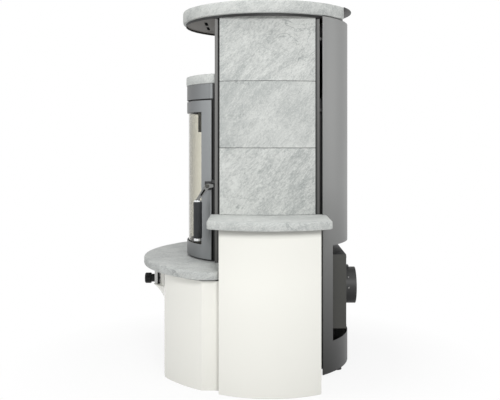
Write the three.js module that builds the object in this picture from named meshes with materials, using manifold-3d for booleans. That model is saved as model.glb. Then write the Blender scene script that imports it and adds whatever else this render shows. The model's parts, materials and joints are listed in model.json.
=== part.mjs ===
// Tiled stove: a round-fronted wood stove in a column clad with stone tiles, with a stone bench on
// each side, a stone shelf in front and white ceramic bases. Millimetres, +Z up, +X to the right of
// someone who faces the door, the front looks to -Y. The origin is on the floor, under the middle of
// the bounding box. Depths below are measured from the axis of the round top plate.
import * as THREE from 'three';
import { mergeVertices } from 'three/addons/utils/BufferGeometryUtils.js';
import Module from 'manifold-3d';

// ---- clearances -------------------------------------------------------------------------------
const TOUCH = 0.3;             // between pieces that rest on or against each other
const SLIDE = 0.4;             // around the pieces that slide or turn
const SINK = 1;                // how far the solids of one piece run into each other
const PAST = 10;               // how far a cut runs past what it cuts
const DOOR_GAP = 5;            // open joint above the door
const BOTTOM_GAP = 7;          // dark joint below the door

// ---- top plate --------------------------------------------------------------------------------
const TOTAL_HEIGHT = 1455;
const TOP_RADIUS = 355;
const TOP_THICKNESS = 50;
const TOP_EDGE_ROUND = 7;
const TOP_REAR_CUT = 306;      // straight rear edge of the stone, behind the axis
const COVER_THICKNESS = 3;
const COVER_WEB_WIDTH = 220;
const TRAY_INSET = 12;          // tray inside the stone's edge
const TRAY_SHEET = 3;
const TRAY_FLANGE = 9.7;
const TRAY_SLOT_LENGTH = 95;
const TRAY_SLOT_WIDTH = 12;
const TRAY_SLOT_INSET = 20;    // from the middle to the near end of a slot
const TRAY_SLOT_DEPTH = 253;   // how far the slots lie in front of the axis

// ---- column -----------------------------------------------------------------------------------
const TILE_APEX = 305;         // greatest half width over the tiles
const TILE_RADIUS = 680;
const TILE_FRONT = -189.4;
const TILE_REAR = 184.6;
const TILE_THICKNESS = 28;
const TILE_ROW = 260;          // lower and middle tiles, with their joint
const TILE_CHAMFER = 1.5;
const POST_OUTER = 266;
const POST_INNER = 238;
const POST_FACE = 14;
const POST_GROOVE = 5;         // dark groove between a front post and the tiles
const POST_GROOVE_DEPTH = 9;
const REAR_POST_GROOVE = 1.7;
const REAR_POST_FACE = 15.5;
const PANEL_TAB = 12;          // height of the tabs that carry the back panel
const PANEL_TAB_DROPS = [91, 370];  // their undersides below the top of the column
const PANEL_TAB_SPAN = [6, 14];     // their sides inside the post's outer face

// ---- back -------------------------------------------------------------------------------------
const PANEL_RADIUS = 394;
const PANEL_APEX = 339;
const PANEL_HALF_WIDTH = 288;
const PANEL_SHEET = 2;
const PANEL_RETURN = 14;
const PANEL_FOOT = 6;          // gap between the panel and the floor
const WINDOW_HALF_WIDTH = 241; // cut-out of the back panel
const WINDOW_LOW = 128;
const WINDOW_HIGH = 505;
const AIR_BOX_HALF_WIDTH = 200;
const AIR_BOX_LOW = 167;
const AIR_BOX_HIGH = 463;
const AIR_BOX_REAR = 314;
const AIR_BOX_WALL = 2.5;
const STUB_LEVEL = 306;
const STUB_RADIUS = 76;
const STUB_WALL = 2.5;
const STUB_LENGTH = 58;
const STUB_RING = 5;           // thickness of the collar ring at the box
const STUB_CLIP = [40, 11, 15];

// ---- benches at the sides ---------------------------------------------------------------------
const BENCH_TOP = 629;
const SHELF_THICKNESS = 30;
const SHELF_EDGE_ROUND = 5;
const BENCH_APEX = 597;
const BENCH_RADIUS = 390;
const BENCH_FRONT = -226;
const BENCH_REAR = 228;
const BENCH_CORNER = 22;
const SIDE_BASE_APEX = 553.5;
const SIDE_BASE_RADIUS = 356;
const SIDE_BASE_FRONT = -183.1;
const SIDE_BASE_REAR = 188.9;
const CERAMIC_WALL = 14;
const CERAMIC_POST_GAP = 2;    // between a side ceramic and the posts

// ---- front shelf and base ---------------------------------------------------------------------
const FRONT_SHELF_TOP = 440;
const FRONT_SHELF_RADIUS = 600;
const FRONT_SHELF_APEX = -516;
const FRONT_SHELF_STRAIGHT = 51;    // straight run of each side before the rear corner
const FRONT_SHELF_CORNER = 25;
const FRONT_BASE_OVERHANG = 35;     // shelf over the ceramics, in front
const FRONT_BASE_SIDE_OVERHANG = 34;
const FRONT_FACE_APEX = -425;
const FRONT_FACE_HALF = 290;
const CENTRE_HALF = 150;       // half width of the middle ceramic
const SPOUT_REACH = 55;        // how far its lip flares forward, under the air control
const SPOUT_RECESS = 28;       // how far its face stands forward above the lip
const SPOUT_HALF = 90;
const SPOUT_FOOT = 218;        // height at which the flare begins
const SPOUT_LEDGE_RISE = 0.5;  // of the lip's top towards the face
const SPOUT_SLOT = 34;

// ---- fire drum and door -----------------------------------------------------------------------
const DOOR_RADIUS = 315;
const DOOR_APEX = -338;
const DOOR_HALF_WIDTH = 240;
const DOOR_TOP = 1078;
const DOOR_SHEET = 5;
const DOOR_EDGE_DEPTH = 7;
const GLASS_SETBACK = 7;
const GLASS_THICKNESS = 4;
const GLASS_OVERLAP = 12;
const PANE_HALF_WIDTH = 201;   // window in the door
const PANE_LOW = 502;
const PANE_HIGH = 1032;
const RETAINER_LAP = 8;        // how far the glass retainer reaches over the glass
const RETAINER_RIM = 3.7;
const RETAINER_SHEET = 3;
const RETAINER_CORNER = [43, 84];  // dark plates in its upper corners: width, height
const SEAL_WIDTH = 10;
const SEAL_SETBACK = 2;        // glass seal behind the window's edge
const SLAB_TOP = 1182;
const SLAB_THICKNESS = 38;
const SLAB_PROUD = 3;
const SLAB_EDGE_ROUND = 5;
const SLAB_REAR = 64.7;
const HEADER_SHEET = 3;
const HEADER_FLOOR_INSET = 6;  // sides of its floor plate inside its face
const NICHE_WALL = 2;
const NICHE_SIDE_GAP = 2;      // between the niche liner and the posts
const NICHE_FRONT_INSET = 4;
const NICHE_REAR = 57;

// ---- firebox ----------------------------------------------------------------------------------
const BOX_SIDE_GAP = 10;       // between the firebox and the posts
const BOX_REAR = 230;
const BOX_WALL = 4;
const BOX_TOP_GAP = 0.7;       // firebox above the joint over the door
const BOX_INLET_RADIUS = 40;
const BOX_INLET_RISE = 60;     // inlet's middle above the firebox floor
const PLINTH_PROUD = 4;        // plinth in front of the firebox
const FLUE_RADIUS = 75;
const FLUE_WALL = 2;
const FLUE_DEPTH = 160;        // flue axis behind the top plate's axis
const FLUE_HOLE_GAP = 10;
const FLUE_SINK = 6;           // flue's rim below the top of the stone
const BRICK = 27;
const BRICK_TOP = 930;
const BRICK_SETBACK = 8;       // bricks behind the edge of the door opening
const PAN_HEIGHT = 34;
const PAN_HALF_WIDTH = 110;
const PAN_WALL = 1.5;
const PAN_GAP = 2;             // beside, before and above the ash pan
const PAN_REAR_GAP = 30;
const HEARTH_THICKNESS = 26;
const GRATE_SIZE = [200, 160];
const GRATE_THICKNESS = 14;
const GRATE_SLOTS = 7;
const GRATE_SLOT_WIDTH = 10;
const GRATE_RIM = [20, 22];    // solid rim at its sides and its ends
const GRATE_LEDGE = 15;        // hearth under the grate's edge
const BAFFLE_THICKNESS = 25;
const BAFFLE_FRONT_GAP = 110;

// ---- pedestal, feet, air control --------------------------------------------------------------
const FOOT_HEIGHT = 22;
const FOOT_RADIUS = 10;
const FOOT_DISC = [20, 5];     // radius, thickness
const FRONT_FOOT = [225, -180];
const REAR_FOOT_X = 180;
const REAR_FOOT_GAP = 1;       // between the rear feet and the back panel
const BASE_SHEET = 4;
const BASE_PANEL_GAP = 3;      // between the base plate and the back panel
const PEDESTAL_HALF_WIDTH = 200;
const PEDESTAL_FRONT = -150;
const PEDESTAL_WALL = 3;
const PEDESTAL_INLET_RADIUS = 60;
const ROD_LEVEL = 335;
const ROD_RADIUS = 5;
const ROD_STOP_GAP = 7;        // before the pulled damper would meet the pedestal
const KNOB_FRONT = -517;
const KNOB_HEAD = [22, 27];    // radius, length
const KNOB_NECK = [17, 14];
const KNOB_CHAMFER = [3, 2];   // of the head, in front and behind
const KNOB_LIP_GAP = 1;        // between the head and the level of the spout's lip
const GUIDE_FRONT = -475;
const GUIDE_REAR = -455;
const GUIDE_SHEET = 3;
const DAMPER = [64, 3, 40];
const DAMPER_CHAMBER_LENGTH = 120;
const DAMPER_CHAMBER_WALL = 4;
const ROD_TRAVEL = 60;

// ---- handle and hinges ------------------------------------------------------------------------
const HINGE_OUTSET = 9;        // hinge axis beside the door's edge
const HINGE_SETBACK = 3;       // and behind it
const HINGE_RADIUS = 7.5;
const HINGE_PIN_RADIUS = 4;
const HINGE_LEVELS = [560, 960];
const HINGE_KNUCKLE = 36;
const HINGE_ARM = 8;
const HINGE_ARM_DEPTH = 12;
const HINGE_ARM_LAP = 5.7;     // arm past the front face of the post
const HINGE_PIN_PROUD = 3;
const PIVOT_OUTSET = 14;       // middle of the handle beside the door's edge
const PIVOT_FORWARD = 11;      // pivot in front of the door's edge
const PIVOT_LEVEL = 740;
const PIVOT_PIN_RADIUS = 4;
const BRACKET_SHEET = 4;
const BRACKET_HEIGHT = 34;
const BRACKET_FORWARD = 11;    // bracket in front of the pivot
const GRIP_RADIUS = 17;
const GRIP_LENGTH = 141;
const GRIP_FORWARD = 38;       // grip axis in front of the pivot
const GRIP_DROP = 57;          // top of the upper cap below the pivot
const GRIP_CAP_UPPER = 7;
const GRIP_CAP_LOWER = 11;
const GRIP_CAP_INSET = 2;      // caps inside the grip's radius
const GRIP_BRIDGE = 5;         // thickness of the plate that joins the two arms
const ARM_SHEET = 4;
const ARM_WIDTH = 13;
const ARM_SPREAD = 7;          // middle of each arm from the middle of the handle
const GRIP_BOLT_RADIUS = 4;
const LEVER_NOSE = [[24, -5], [24, 6], [-2, 9], [-9, 4]];  // outline from the pivot: back, up
const LEVER_HEEL = [6, -9];
const LEVER_SHOULDER = 2;      // straight edge above the grip
const KEEPER = [24, 10, 14];    // width, depth, height
const KEEPER_RISE = 10;        // keeper's underside above the pivot

// ---- levels and depths that follow from the sizes above ---------------------------------------
const TOP_UNDERSIDE = TOTAL_HEIGHT - TOP_THICKNESS;
const TRAY_RADIUS = TOP_RADIUS - TRAY_INSET;
const TRAY_UNDERSIDE = TOP_UNDERSIDE - TOUCH - TRAY_SHEET;
const COLUMN_TOP = TRAY_UNDERSIDE - TOUCH;
const BASE_TOP = FOOT_HEIGHT + BASE_SHEET;
const POST_FRONT = TILE_FRONT - TOUCH - POST_GROOVE - POST_FACE;
const REAR_POST_END = TILE_REAR + TOUCH + REAR_POST_GROOVE + REAR_POST_FACE;
const PANEL_CENTRE = PANEL_APEX - PANEL_RADIUS;
const PANEL_EDGE = PANEL_CENTRE + Math.sqrt(PANEL_RADIUS ** 2 - PANEL_HALF_WIDTH ** 2);
const BENCH_CENTRE_Y = (BENCH_FRONT + BENCH_REAR) / 2;
const SIDE_BASE_CENTRE_Y = (SIDE_BASE_FRONT + SIDE_BASE_REAR) / 2;
const FRONT_CENTRE = FRONT_SHELF_APEX + FRONT_SHELF_RADIUS;
const FRONT_BASE_RADIUS = FRONT_SHELF_RADIUS - FRONT_BASE_OVERHANG;
const FRONT_BASE_TOP = FRONT_SHELF_TOP - SHELF_THICKNESS - TOUCH;
const FRONT_BASE_REAR = SIDE_BASE_FRONT - TOUCH;
const FRONT_SHELF_TURN = FRONT_BASE_REAR - FRONT_SHELF_CORNER - FRONT_SHELF_STRAIGHT;
const FRONT_SHELF_SIDE = Math.sqrt(FRONT_SHELF_RADIUS ** 2 - (FRONT_CENTRE - FRONT_SHELF_TURN) ** 2);
const FRONT_BASE_SIDE = FRONT_SHELF_SIDE - FRONT_BASE_SIDE_OVERHANG;
const FACE_EDGE_Y = FRONT_CENTRE - Math.sqrt(FRONT_BASE_RADIUS ** 2 - FRONT_FACE_HALF ** 2);
const FACE_SAGITTA = FACE_EDGE_Y - FRONT_FACE_APEX;
const FACE_RADIUS = (FRONT_FACE_HALF ** 2 + FACE_SAGITTA ** 2) / (2 * FACE_SAGITTA);
const FACE_CENTRE = FRONT_FACE_APEX + FACE_RADIUS;
const DRUM_CENTRE = DOOR_APEX + DOOR_RADIUS;
const DOOR_BOTTOM = FRONT_SHELF_TOP + BOTTOM_GAP;
const BOX_TOP = DOOR_TOP + DOOR_GAP + BOX_TOP_GAP;
const BOX_HALF_WIDTH = POST_INNER - BOX_SIDE_GAP;
const NICHE_HALF_WIDTH = POST_INNER - NICHE_SIDE_GAP;
const BOX_RADIUS = DOOR_RADIUS - DOOR_SHEET - SEAL_WIDTH - 2 * TOUCH;
const GLASS_RADIUS = DOOR_RADIUS - GLASS_SETBACK;
const SLAB_UNDERSIDE = SLAB_TOP - SLAB_THICKNESS;
const HEARTH_LOW = DOOR_BOTTOM + BOX_WALL + PAN_HEIGHT + PAN_GAP;
const HEARTH_TOP = HEARTH_LOW + HEARTH_THICKNESS;
const STUB_END = AIR_BOX_REAR + TOUCH + STUB_LENGTH;
const PANEL_INNER = PANEL_RADIUS - PANEL_SHEET;
const ROD_REAR = PEDESTAL_FRONT + PEDESTAL_WALL + ROD_STOP_GAP + ROD_TRAVEL;
const SPOUT_LIP = ROD_LEVEL - KNOB_HEAD[0] - KNOB_LIP_GAP;
const DOOR_EDGE_Y = DRUM_CENTRE - Math.sqrt(DOOR_RADIUS ** 2 - DOOR_HALF_WIDTH ** 2);
const HINGE_X = -DOOR_HALF_WIDTH - HINGE_OUTSET;
const HINGE_Y = DOOR_EDGE_Y + HINGE_SETBACK;
const PIVOT_X = DOOR_HALF_WIDTH + PIVOT_OUTSET;
const PIVOT_Y = DOOR_EDGE_Y - PIVOT_FORWARD;
const GRIP_Y = PIVOT_Y - GRIP_FORWARD;
const GRIP_CAP_TOP = PIVOT_LEVEL - GRIP_DROP;
const CENTRE_SHIFT = -(KNOB_FRONT + STUB_END) / 2;

// ---- finishes ---------------------------------------------------------------------------------
const finish = (color, roughness, metalness = 0) =>
  new THREE.MeshStandardMaterial({ color, roughness, metalness });
const STONE = () => finish(0xc6cac4, 0.75);
const SHELF_STONE = () => finish(0xa9aeaa, 0.7);
const CERAMIC = () => finish(0xf1f0e8, 0.22);
const GREY_STEEL = () => finish(0x8b8e92, 0.5, 0.3);
const DARK_STEEL = () => finish(0x4c4e4e, 0.55, 0.3);
const BLACK_STEEL = () => finish(0x1d1e1f, 0.6, 0.3);
const CAST_IRON = () => finish(0x2c2d2e, 0.75, 0.3);
const FIREBRICK = () => finish(0xd8ccb0, 0.9);
const GASKET = () => finish(0x3a3a38, 0.95);
const CHROME = () => finish(0xd5d7d9, 0.15, 1);
const RUBBER = () => finish(0x2a2b2d, 0.6);
const GLASS = () => {
  const material = finish(0xd0c8b4, 0.05);
  material.transparent = true;
  material.opacity = 0.35;
  return material;
};

// ---- solids -----------------------------------------------------------------------------------
const wasm = await Module();
wasm.setup();

function toSolid(geometry) {
  const bare = geometry.clone();
  bare.deleteAttribute('normal');
  bare.deleteAttribute('uv');
  const merged = mergeVertices(bare, 1e-4);
  return new wasm.Manifold(new wasm.Mesh({
    numProp: 3,
    vertProperties: new Float32Array(merged.attributes.position.array),
    triVerts: new Uint32Array(merged.index.array),
  }));
}

function toGeometry(solid) {
  const mesh = solid.getMesh();
  const geometry = new THREE.BufferGeometry();
  geometry.setAttribute('position', new THREE.BufferAttribute(new Float32Array(mesh.vertProperties), 3));
  geometry.setIndex(new THREE.BufferAttribute(new Uint32Array(mesh.triVerts), 1));
  geometry.computeVertexNormals();
  return geometry;
}

const cut = (body, ...tools) =>
  toGeometry(tools.reduce((solid, tool) => solid.subtract(toSolid(tool)), toSolid(body)));
const join = (...bodies) =>
  toGeometry(bodies.slice(1).reduce((solid, body) => solid.add(toSolid(body)), toSolid(bodies[0])));
const common = (...bodies) =>
  toGeometry(bodies.slice(1).reduce((solid, body) => solid.intersect(toSolid(body)), toSolid(bodies[0])));

// A box given by its lowest and highest corners.
function block([x0, y0, z0], [x1, y1, z1]) {
  const geometry = new THREE.BoxGeometry(x1 - x0, y1 - y0, z1 - z0);
  return geometry.translate((x0 + x1) / 2, (y0 + y1) / 2, (z0 + z1) / 2);
}

// A plan outline raised from one level to another, with its edges rounded or chamfered.
function raise(shape, low, high, edge = 0, steps = 2, curveSegments = 12) {
  const points = shape.getPoints(curveSegments);
  const corners = points.filter((point, i) => point.distanceTo(points[(i + 1) % points.length]) > 0.01);
  const geometry = new THREE.ExtrudeGeometry(new THREE.Shape(corners), {
    depth: high - low - 2 * edge,
    bevelEnabled: edge > 0,
    bevelThickness: edge,
    bevelSize: edge,
    bevelOffset: -edge,
    bevelSegments: steps,
  });
  return geometry.translate(0, 0, low + edge);
}

// An upright cylinder or tube, and the same turned to lie along Y.
function turned(radius, low, high, bore = 0, segments = 28) {
  const profile = [[bore, low], [radius, low], [radius, high], [bore, high], [bore, low]];
  const points = (bore > 0 ? profile : profile.slice(0, 4)).map(([r, z]) => new THREE.Vector2(r, z));
  return new THREE.LatheGeometry(points, segments).rotateX(Math.PI / 2);
}

function alongY(radius, front, rear, x, z, bore = 0, segments = 28) {
  return turned(radius, -rear, -front, bore, segments).rotateX(Math.PI / 2).translate(x, 0, z);
}

function alongX(radius, left, right, y, z, segments = 16) {
  return turned(radius, left, right, 0, segments).rotateY(Math.PI / 2).translate(0, y, z);
}

// A curved wall: a ring sector about (0, centre), between two radii. "front" sectors face -Y.
function curvedWall({ centre, outer, inner, half, low, high, facing = 'front', segments = 24 }) {
  const middle = facing === 'front' ? -Math.PI / 2 : Math.PI / 2;
  const shape = new THREE.Shape();
  const outerAngle = Math.asin(half / outer);
  shape.absarc(0, centre, outer, middle - outerAngle, middle + outerAngle, false);
  shape.absarc(0, centre, inner, middle + outerAngle, middle - outerAngle, true);
  shape.closePath();
  return raise(shape, low, high, 0, 1, segments);
}

// The same outline mirrored to the other side of the stove.
function mirrored(geometry) {
  const copy = geometry.index ? geometry.toNonIndexed() : geometry.clone();
  copy.scale(-1, 1, 1);
  const position = copy.attributes.position;
  for (let i = 0; i < position.count; i += 3) {
    const second = new THREE.Vector3().fromBufferAttribute(position, i + 1);
    const third = new THREE.Vector3().fromBufferAttribute(position, i + 2);
    position.setXYZ(i + 1, third.x, third.y, third.z);
    position.setXYZ(i + 2, second.x, second.y, second.z);
  }
  copy.computeVertexNormals();
  return copy;
}

const stove = new THREE.Group();
stove.position.y = CENTRE_SHIFT;

function place(name, geometry, material) {
  const mesh = new THREE.Mesh(geometry, material);
  mesh.name = name;
  stove.add(mesh);
}

function placePair(name, geometry, material) {
  place(`${name}_right`, geometry, material());
  place(`${name}_left`, mirrored(geometry), material());
}

// ---- top: stone plate, steel tray, rear cover -------------------------------------------------
function topOutline(radius, rearCut) {
  const angle = Math.asin(rearCut / radius);
  const shape = new THREE.Shape();
  shape.absarc(0, 0, radius, Math.PI - angle, 2 * Math.PI + angle, false);
  shape.closePath();
  return shape;
}

function buildTop() {
  const flue = turned(FLUE_RADIUS + FLUE_HOLE_GAP, TRAY_UNDERSIDE - PAST, TOTAL_HEIGHT + PAST)
    .translate(0, FLUE_DEPTH, 0);
  const outline = topOutline(TOP_RADIUS, TOP_REAR_CUT);
  const stone = raise(outline, TOP_UNDERSIDE, TOTAL_HEIGHT, TOP_EDGE_ROUND, 2, 36);
  place('top_plate_stone', cut(stone, flue), STONE());

  const cover = new THREE.Shape();
  const coverFront = TOP_REAR_CUT + TOUCH;
  const coverAngle = Math.asin(coverFront / TOP_RADIUS);
  cover.absarc(0, 0, TOP_RADIUS, coverAngle, Math.PI - coverAngle, false);
  cover.closePath();
  const sheet = raise(cover, TOTAL_HEIGHT - COVER_THICKNESS, TOTAL_HEIGHT, 0, 1, 24);
  const web = block([-COVER_WEB_WIDTH / 2, coverFront, TRAY_UNDERSIDE],
    [COVER_WEB_WIDTH / 2, coverFront + COVER_THICKNESS, TOTAL_HEIGHT - SINK]);
  place('rear_cover', join(sheet, web), BLACK_STEEL());

  const trayHigh = TRAY_UNDERSIDE + TRAY_SHEET;
  const disc = turned(TRAY_RADIUS, trayHigh - TRAY_FLANGE, trayHigh, 0, 44);
  const hollow = turned(TRAY_RADIUS - TRAY_SHEET, trayHigh - TRAY_FLANGE - PAST, TRAY_UNDERSIDE, 0, 44);
  const flangeLow = trayHigh - TRAY_FLANGE;
  const reach = turned(PANEL_INNER - 2 * TOUCH, flangeLow - PAST, trayHigh + PAST, 0, 44)
    .translate(0, PANEL_CENTRE, 0);
  const rear = block([-TOP_RADIUS, TOP_REAR_CUT, flangeLow - PAST],
    [TOP_RADIUS, TOP_RADIUS + PAST, trayHigh + PAST]);
  const slots = [-1, 1].map((side) => {
    const near = side * TRAY_SLOT_INSET;
    const far = side * (TRAY_SLOT_INSET + TRAY_SLOT_LENGTH);
    return block([Math.min(near, far), -TRAY_SLOT_DEPTH - TRAY_SLOT_WIDTH / 2, TRAY_UNDERSIDE - PAST],
      [Math.max(near, far), -TRAY_SLOT_DEPTH + TRAY_SLOT_WIDTH / 2, trayHigh + PAST]);
  });
  place('top_tray', cut(common(disc, reach), hollow, rear, flue, ...slots), DARK_STEEL());
}

// ---- column: tiles and posts ------------------------------------------------------------------
function tileOutline() {
  const centreX = TILE_APEX - TILE_RADIUS;
  const centreY = (TILE_FRONT + TILE_REAR) / 2;
  const half = (TILE_REAR - TILE_FRONT) / 2;
  const inner = TILE_RADIUS - TILE_THICKNESS;
  const shape = new THREE.Shape();
  const outerAngle = Math.asin(half / TILE_RADIUS);
  const innerAngle = Math.asin(half / inner);
  shape.absarc(centreX, centreY, TILE_RADIUS, -outerAngle, outerAngle, false);
  shape.absarc(centreX, centreY, inner, innerAngle, -innerAngle, true);
  shape.closePath();
  return shape;
}

function buildColumn() {
  const rows = ['lower', 'middle', 'upper'];
  rows.forEach((row, index) => {
    const low = BENCH_TOP + TOUCH + index * TILE_ROW;
    const high = index === rows.length - 1 ? COLUMN_TOP : low + TILE_ROW - TOUCH;
    placePair(`tile_${row}`, raise(tileOutline(), low, high, TILE_CHAMFER, 1, 10), STONE);
  });

  const frontFace = POST_FRONT + POST_FACE;
  const frontPost = join(
    block([POST_INNER, POST_FRONT, BASE_TOP + TOUCH], [POST_OUTER, frontFace, COLUMN_TOP]),
    block([POST_INNER, frontFace - SINK, BASE_TOP + TOUCH],
      [POST_OUTER - POST_GROOVE_DEPTH, TILE_FRONT - TOUCH, COLUMN_TOP]));
  placePair('front_post', frontPost, GREY_STEEL);

  const rearStart = TILE_REAR + TOUCH;
  const [tabNear, tabFar] = PANEL_TAB_SPAN;
  const tabs = PANEL_TAB_DROPS.map((drop) =>
    block([POST_OUTER - tabFar, REAR_POST_END - SINK, COLUMN_TOP - drop],
      [POST_OUTER - tabNear, PANEL_EDGE - PANEL_SHEET - TOUCH, COLUMN_TOP - drop + PANEL_TAB]));
  const rearPost = join(
    block([POST_INNER, rearStart, BASE_TOP + TOUCH],
      [POST_OUTER - POST_GROOVE_DEPTH, REAR_POST_END, COLUMN_TOP]),
    block([POST_INNER, rearStart + REAR_POST_GROOVE, BASE_TOP + TOUCH],
      [POST_OUTER, REAR_POST_END, COLUMN_TOP]),
    ...tabs);
  placePair('rear_post', rearPost, GREY_STEEL);
}

// ---- back: curved panel, air box, air stub ----------------------------------------------------
function buildBack() {
  const wall = curvedWall({
    centre: PANEL_CENTRE, outer: PANEL_RADIUS, inner: PANEL_INNER,
    half: PANEL_HALF_WIDTH, low: PANEL_FOOT, high: COLUMN_TOP, facing: 'rear', segments: 22,
  });
  const returns = [-1, 1].map((side) => {
    const outer = side * (PANEL_HALF_WIDTH - SLIDE);
    const inner = side * (PANEL_HALF_WIDTH - PANEL_RETURN);
    return block([Math.min(outer, inner), PANEL_EDGE - PANEL_SHEET, PANEL_FOOT],
      [Math.max(outer, inner), PANEL_EDGE + SLIDE, COLUMN_TOP]);
  });
  const window = block([-WINDOW_HALF_WIDTH, PANEL_EDGE, WINDOW_LOW],
    [WINDOW_HALF_WIDTH, PANEL_APEX + PAST, WINDOW_HIGH]);
  place('back_panel', cut(join(wall, ...returns), window), GREY_STEEL());

  const boxFront = BOX_REAR + TOUCH;
  const box = block([-AIR_BOX_HALF_WIDTH, boxFront, AIR_BOX_LOW],
    [AIR_BOX_HALF_WIDTH, AIR_BOX_REAR, AIR_BOX_HIGH]);
  const hollow = block([-AIR_BOX_HALF_WIDTH + AIR_BOX_WALL, boxFront - PAST, AIR_BOX_LOW + AIR_BOX_WALL],
    [AIR_BOX_HALF_WIDTH - AIR_BOX_WALL, AIR_BOX_REAR - AIR_BOX_WALL, AIR_BOX_HIGH - AIR_BOX_WALL]);
  const inlet = alongY(STUB_RADIUS - STUB_WALL, AIR_BOX_REAR - PAST, AIR_BOX_REAR + PAST, 0, STUB_LEVEL);
  place('rear_air_box', cut(box, hollow, inlet), DARK_STEEL());

  const root = AIR_BOX_REAR + TOUCH;
  const bore = STUB_RADIUS - STUB_WALL;
  const tube = alongY(STUB_RADIUS, root, STUB_END, 0, STUB_LEVEL, bore);
  const ring = alongY(STUB_RADIUS + STUB_RING, root, root + STUB_RING, 0, STUB_LEVEL, bore);
  const [clipWidth, clipDepth, clipHeight] = STUB_CLIP;
  const clip = block([-clipWidth / 2, root, STUB_LEVEL + STUB_RADIUS - SINK],
    [clipWidth / 2, root + clipDepth, STUB_LEVEL + STUB_RADIUS + clipHeight]);
  place('air_stub', join(tube, ring, clip), BLACK_STEEL());
}

// ---- side benches -----------------------------------------------------------------------------
function benchOutline() {
  const centreX = BENCH_APEX - BENCH_RADIUS;
  const half = (BENCH_REAR - BENCH_FRONT) / 2;
  const turn = Math.asin((half - BENCH_CORNER) / (BENCH_RADIUS - BENCH_CORNER));
  const cornerX = centreX + (BENCH_RADIUS - BENCH_CORNER) * Math.cos(turn);
  const shape = new THREE.Shape();
  shape.absarc(cornerX, BENCH_FRONT + BENCH_CORNER, BENCH_CORNER, -Math.PI / 2, -turn, false);
  shape.absarc(centreX, BENCH_CENTRE_Y, BENCH_RADIUS, -turn, turn, false);
  shape.absarc(cornerX, BENCH_REAR - BENCH_CORNER, BENCH_CORNER, turn, Math.PI / 2, false);
  shape.lineTo(POST_INNER, BENCH_REAR);
  shape.lineTo(POST_INNER, BENCH_FRONT);
  shape.closePath();
  return shape;
}

function buildBenches() {
  const low = BENCH_TOP - SHELF_THICKNESS;
  const clear = POST_OUTER + TOUCH;
  const frontNotch = block([0, BENCH_FRONT - PAST, low - PAST], [clear, TILE_FRONT, BENCH_TOP + PAST]);
  const rearNotch = block([0, TILE_REAR, low - PAST], [clear, BENCH_REAR + PAST, BENCH_TOP + PAST]);
  const panelNotch = block([0, PANEL_EDGE - PANEL_SHEET - TOUCH, low - PAST],
    [PANEL_HALF_WIDTH + TOUCH, BENCH_REAR + PAST, BENCH_TOP + PAST]);
  const shelf = raise(benchOutline(), low, BENCH_TOP, SHELF_EDGE_ROUND, 2, 8);
  placePair('side_shelf', cut(shelf, frontNotch, rearNotch, panelNotch), STONE);

  const outline = (inset) => {
    const radius = SIDE_BASE_RADIUS - inset;
    const half = (SIDE_BASE_REAR - SIDE_BASE_FRONT) / 2 - inset;
    const turn = Math.asin(half / radius);
    const inner = POST_OUTER + CERAMIC_POST_GAP - (inset > 0 ? PAST : 0);
    const shape = new THREE.Shape();
    shape.absarc(SIDE_BASE_APEX - SIDE_BASE_RADIUS, SIDE_BASE_CENTRE_Y, radius, -turn, turn, false);
    shape.lineTo(inner, SIDE_BASE_REAR - inset);
    shape.lineTo(inner, SIDE_BASE_FRONT + inset);
    shape.closePath();
    return shape;
  };
  const top = low - TOUCH;
  placePair('side_ceramic', cut(raise(outline(0), 0, top, 0, 1, 20),
    raise(outline(CERAMIC_WALL), -PAST, top + PAST, 0, 1, 20)), CERAMIC);
}

// ---- front shelf, front ceramics --------------------------------------------------------------
function buildFrontShelf() {
  const rear = FRONT_BASE_REAR;
  const turn = Math.acos(FRONT_SHELF_SIDE / FRONT_SHELF_RADIUS);
  const shape = new THREE.Shape();
  shape.absarc(0, FRONT_CENTRE, FRONT_SHELF_RADIUS, Math.PI + turn, 2 * Math.PI - turn, false);
  shape.absarc(FRONT_SHELF_SIDE - FRONT_SHELF_CORNER, rear - FRONT_SHELF_CORNER, FRONT_SHELF_CORNER,
    0, Math.PI / 2, false);
  shape.absarc(-FRONT_SHELF_SIDE + FRONT_SHELF_CORNER, rear - FRONT_SHELF_CORNER, FRONT_SHELF_CORNER,
    Math.PI / 2, Math.PI, false);
  shape.closePath();
  const low = FRONT_SHELF_TOP - SHELF_THICKNESS;
  const slab = raise(shape, low, FRONT_SHELF_TOP, SHELF_EDGE_ROUND, 2, 16);
  const column = block([-POST_OUTER - TOUCH, POST_FRONT - TOUCH, low - PAST],
    [POST_OUTER + TOUCH, 0, FRONT_SHELF_TOP + PAST]);
  place('front_shelf', cut(slab, column), SHELF_STONE());

  const plinth = new THREE.Shape();
  const plinthRadius = BOX_RADIUS + PLINTH_PROUD;
  const plinthTurn = Math.acos(BOX_HALF_WIDTH / plinthRadius);
  plinth.absarc(0, DRUM_CENTRE, plinthRadius, Math.PI + plinthTurn, 2 * Math.PI - plinthTurn, false);
  plinth.lineTo(BOX_HALF_WIDTH, POST_FRONT);
  plinth.lineTo(-BOX_HALF_WIDTH, POST_FRONT);
  plinth.closePath();
  place('drum_plinth', raise(plinth, FRONT_SHELF_TOP + TOUCH, DOOR_BOTTOM - TOUCH, 0, 1, 20), BLACK_STEEL());
}

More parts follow.
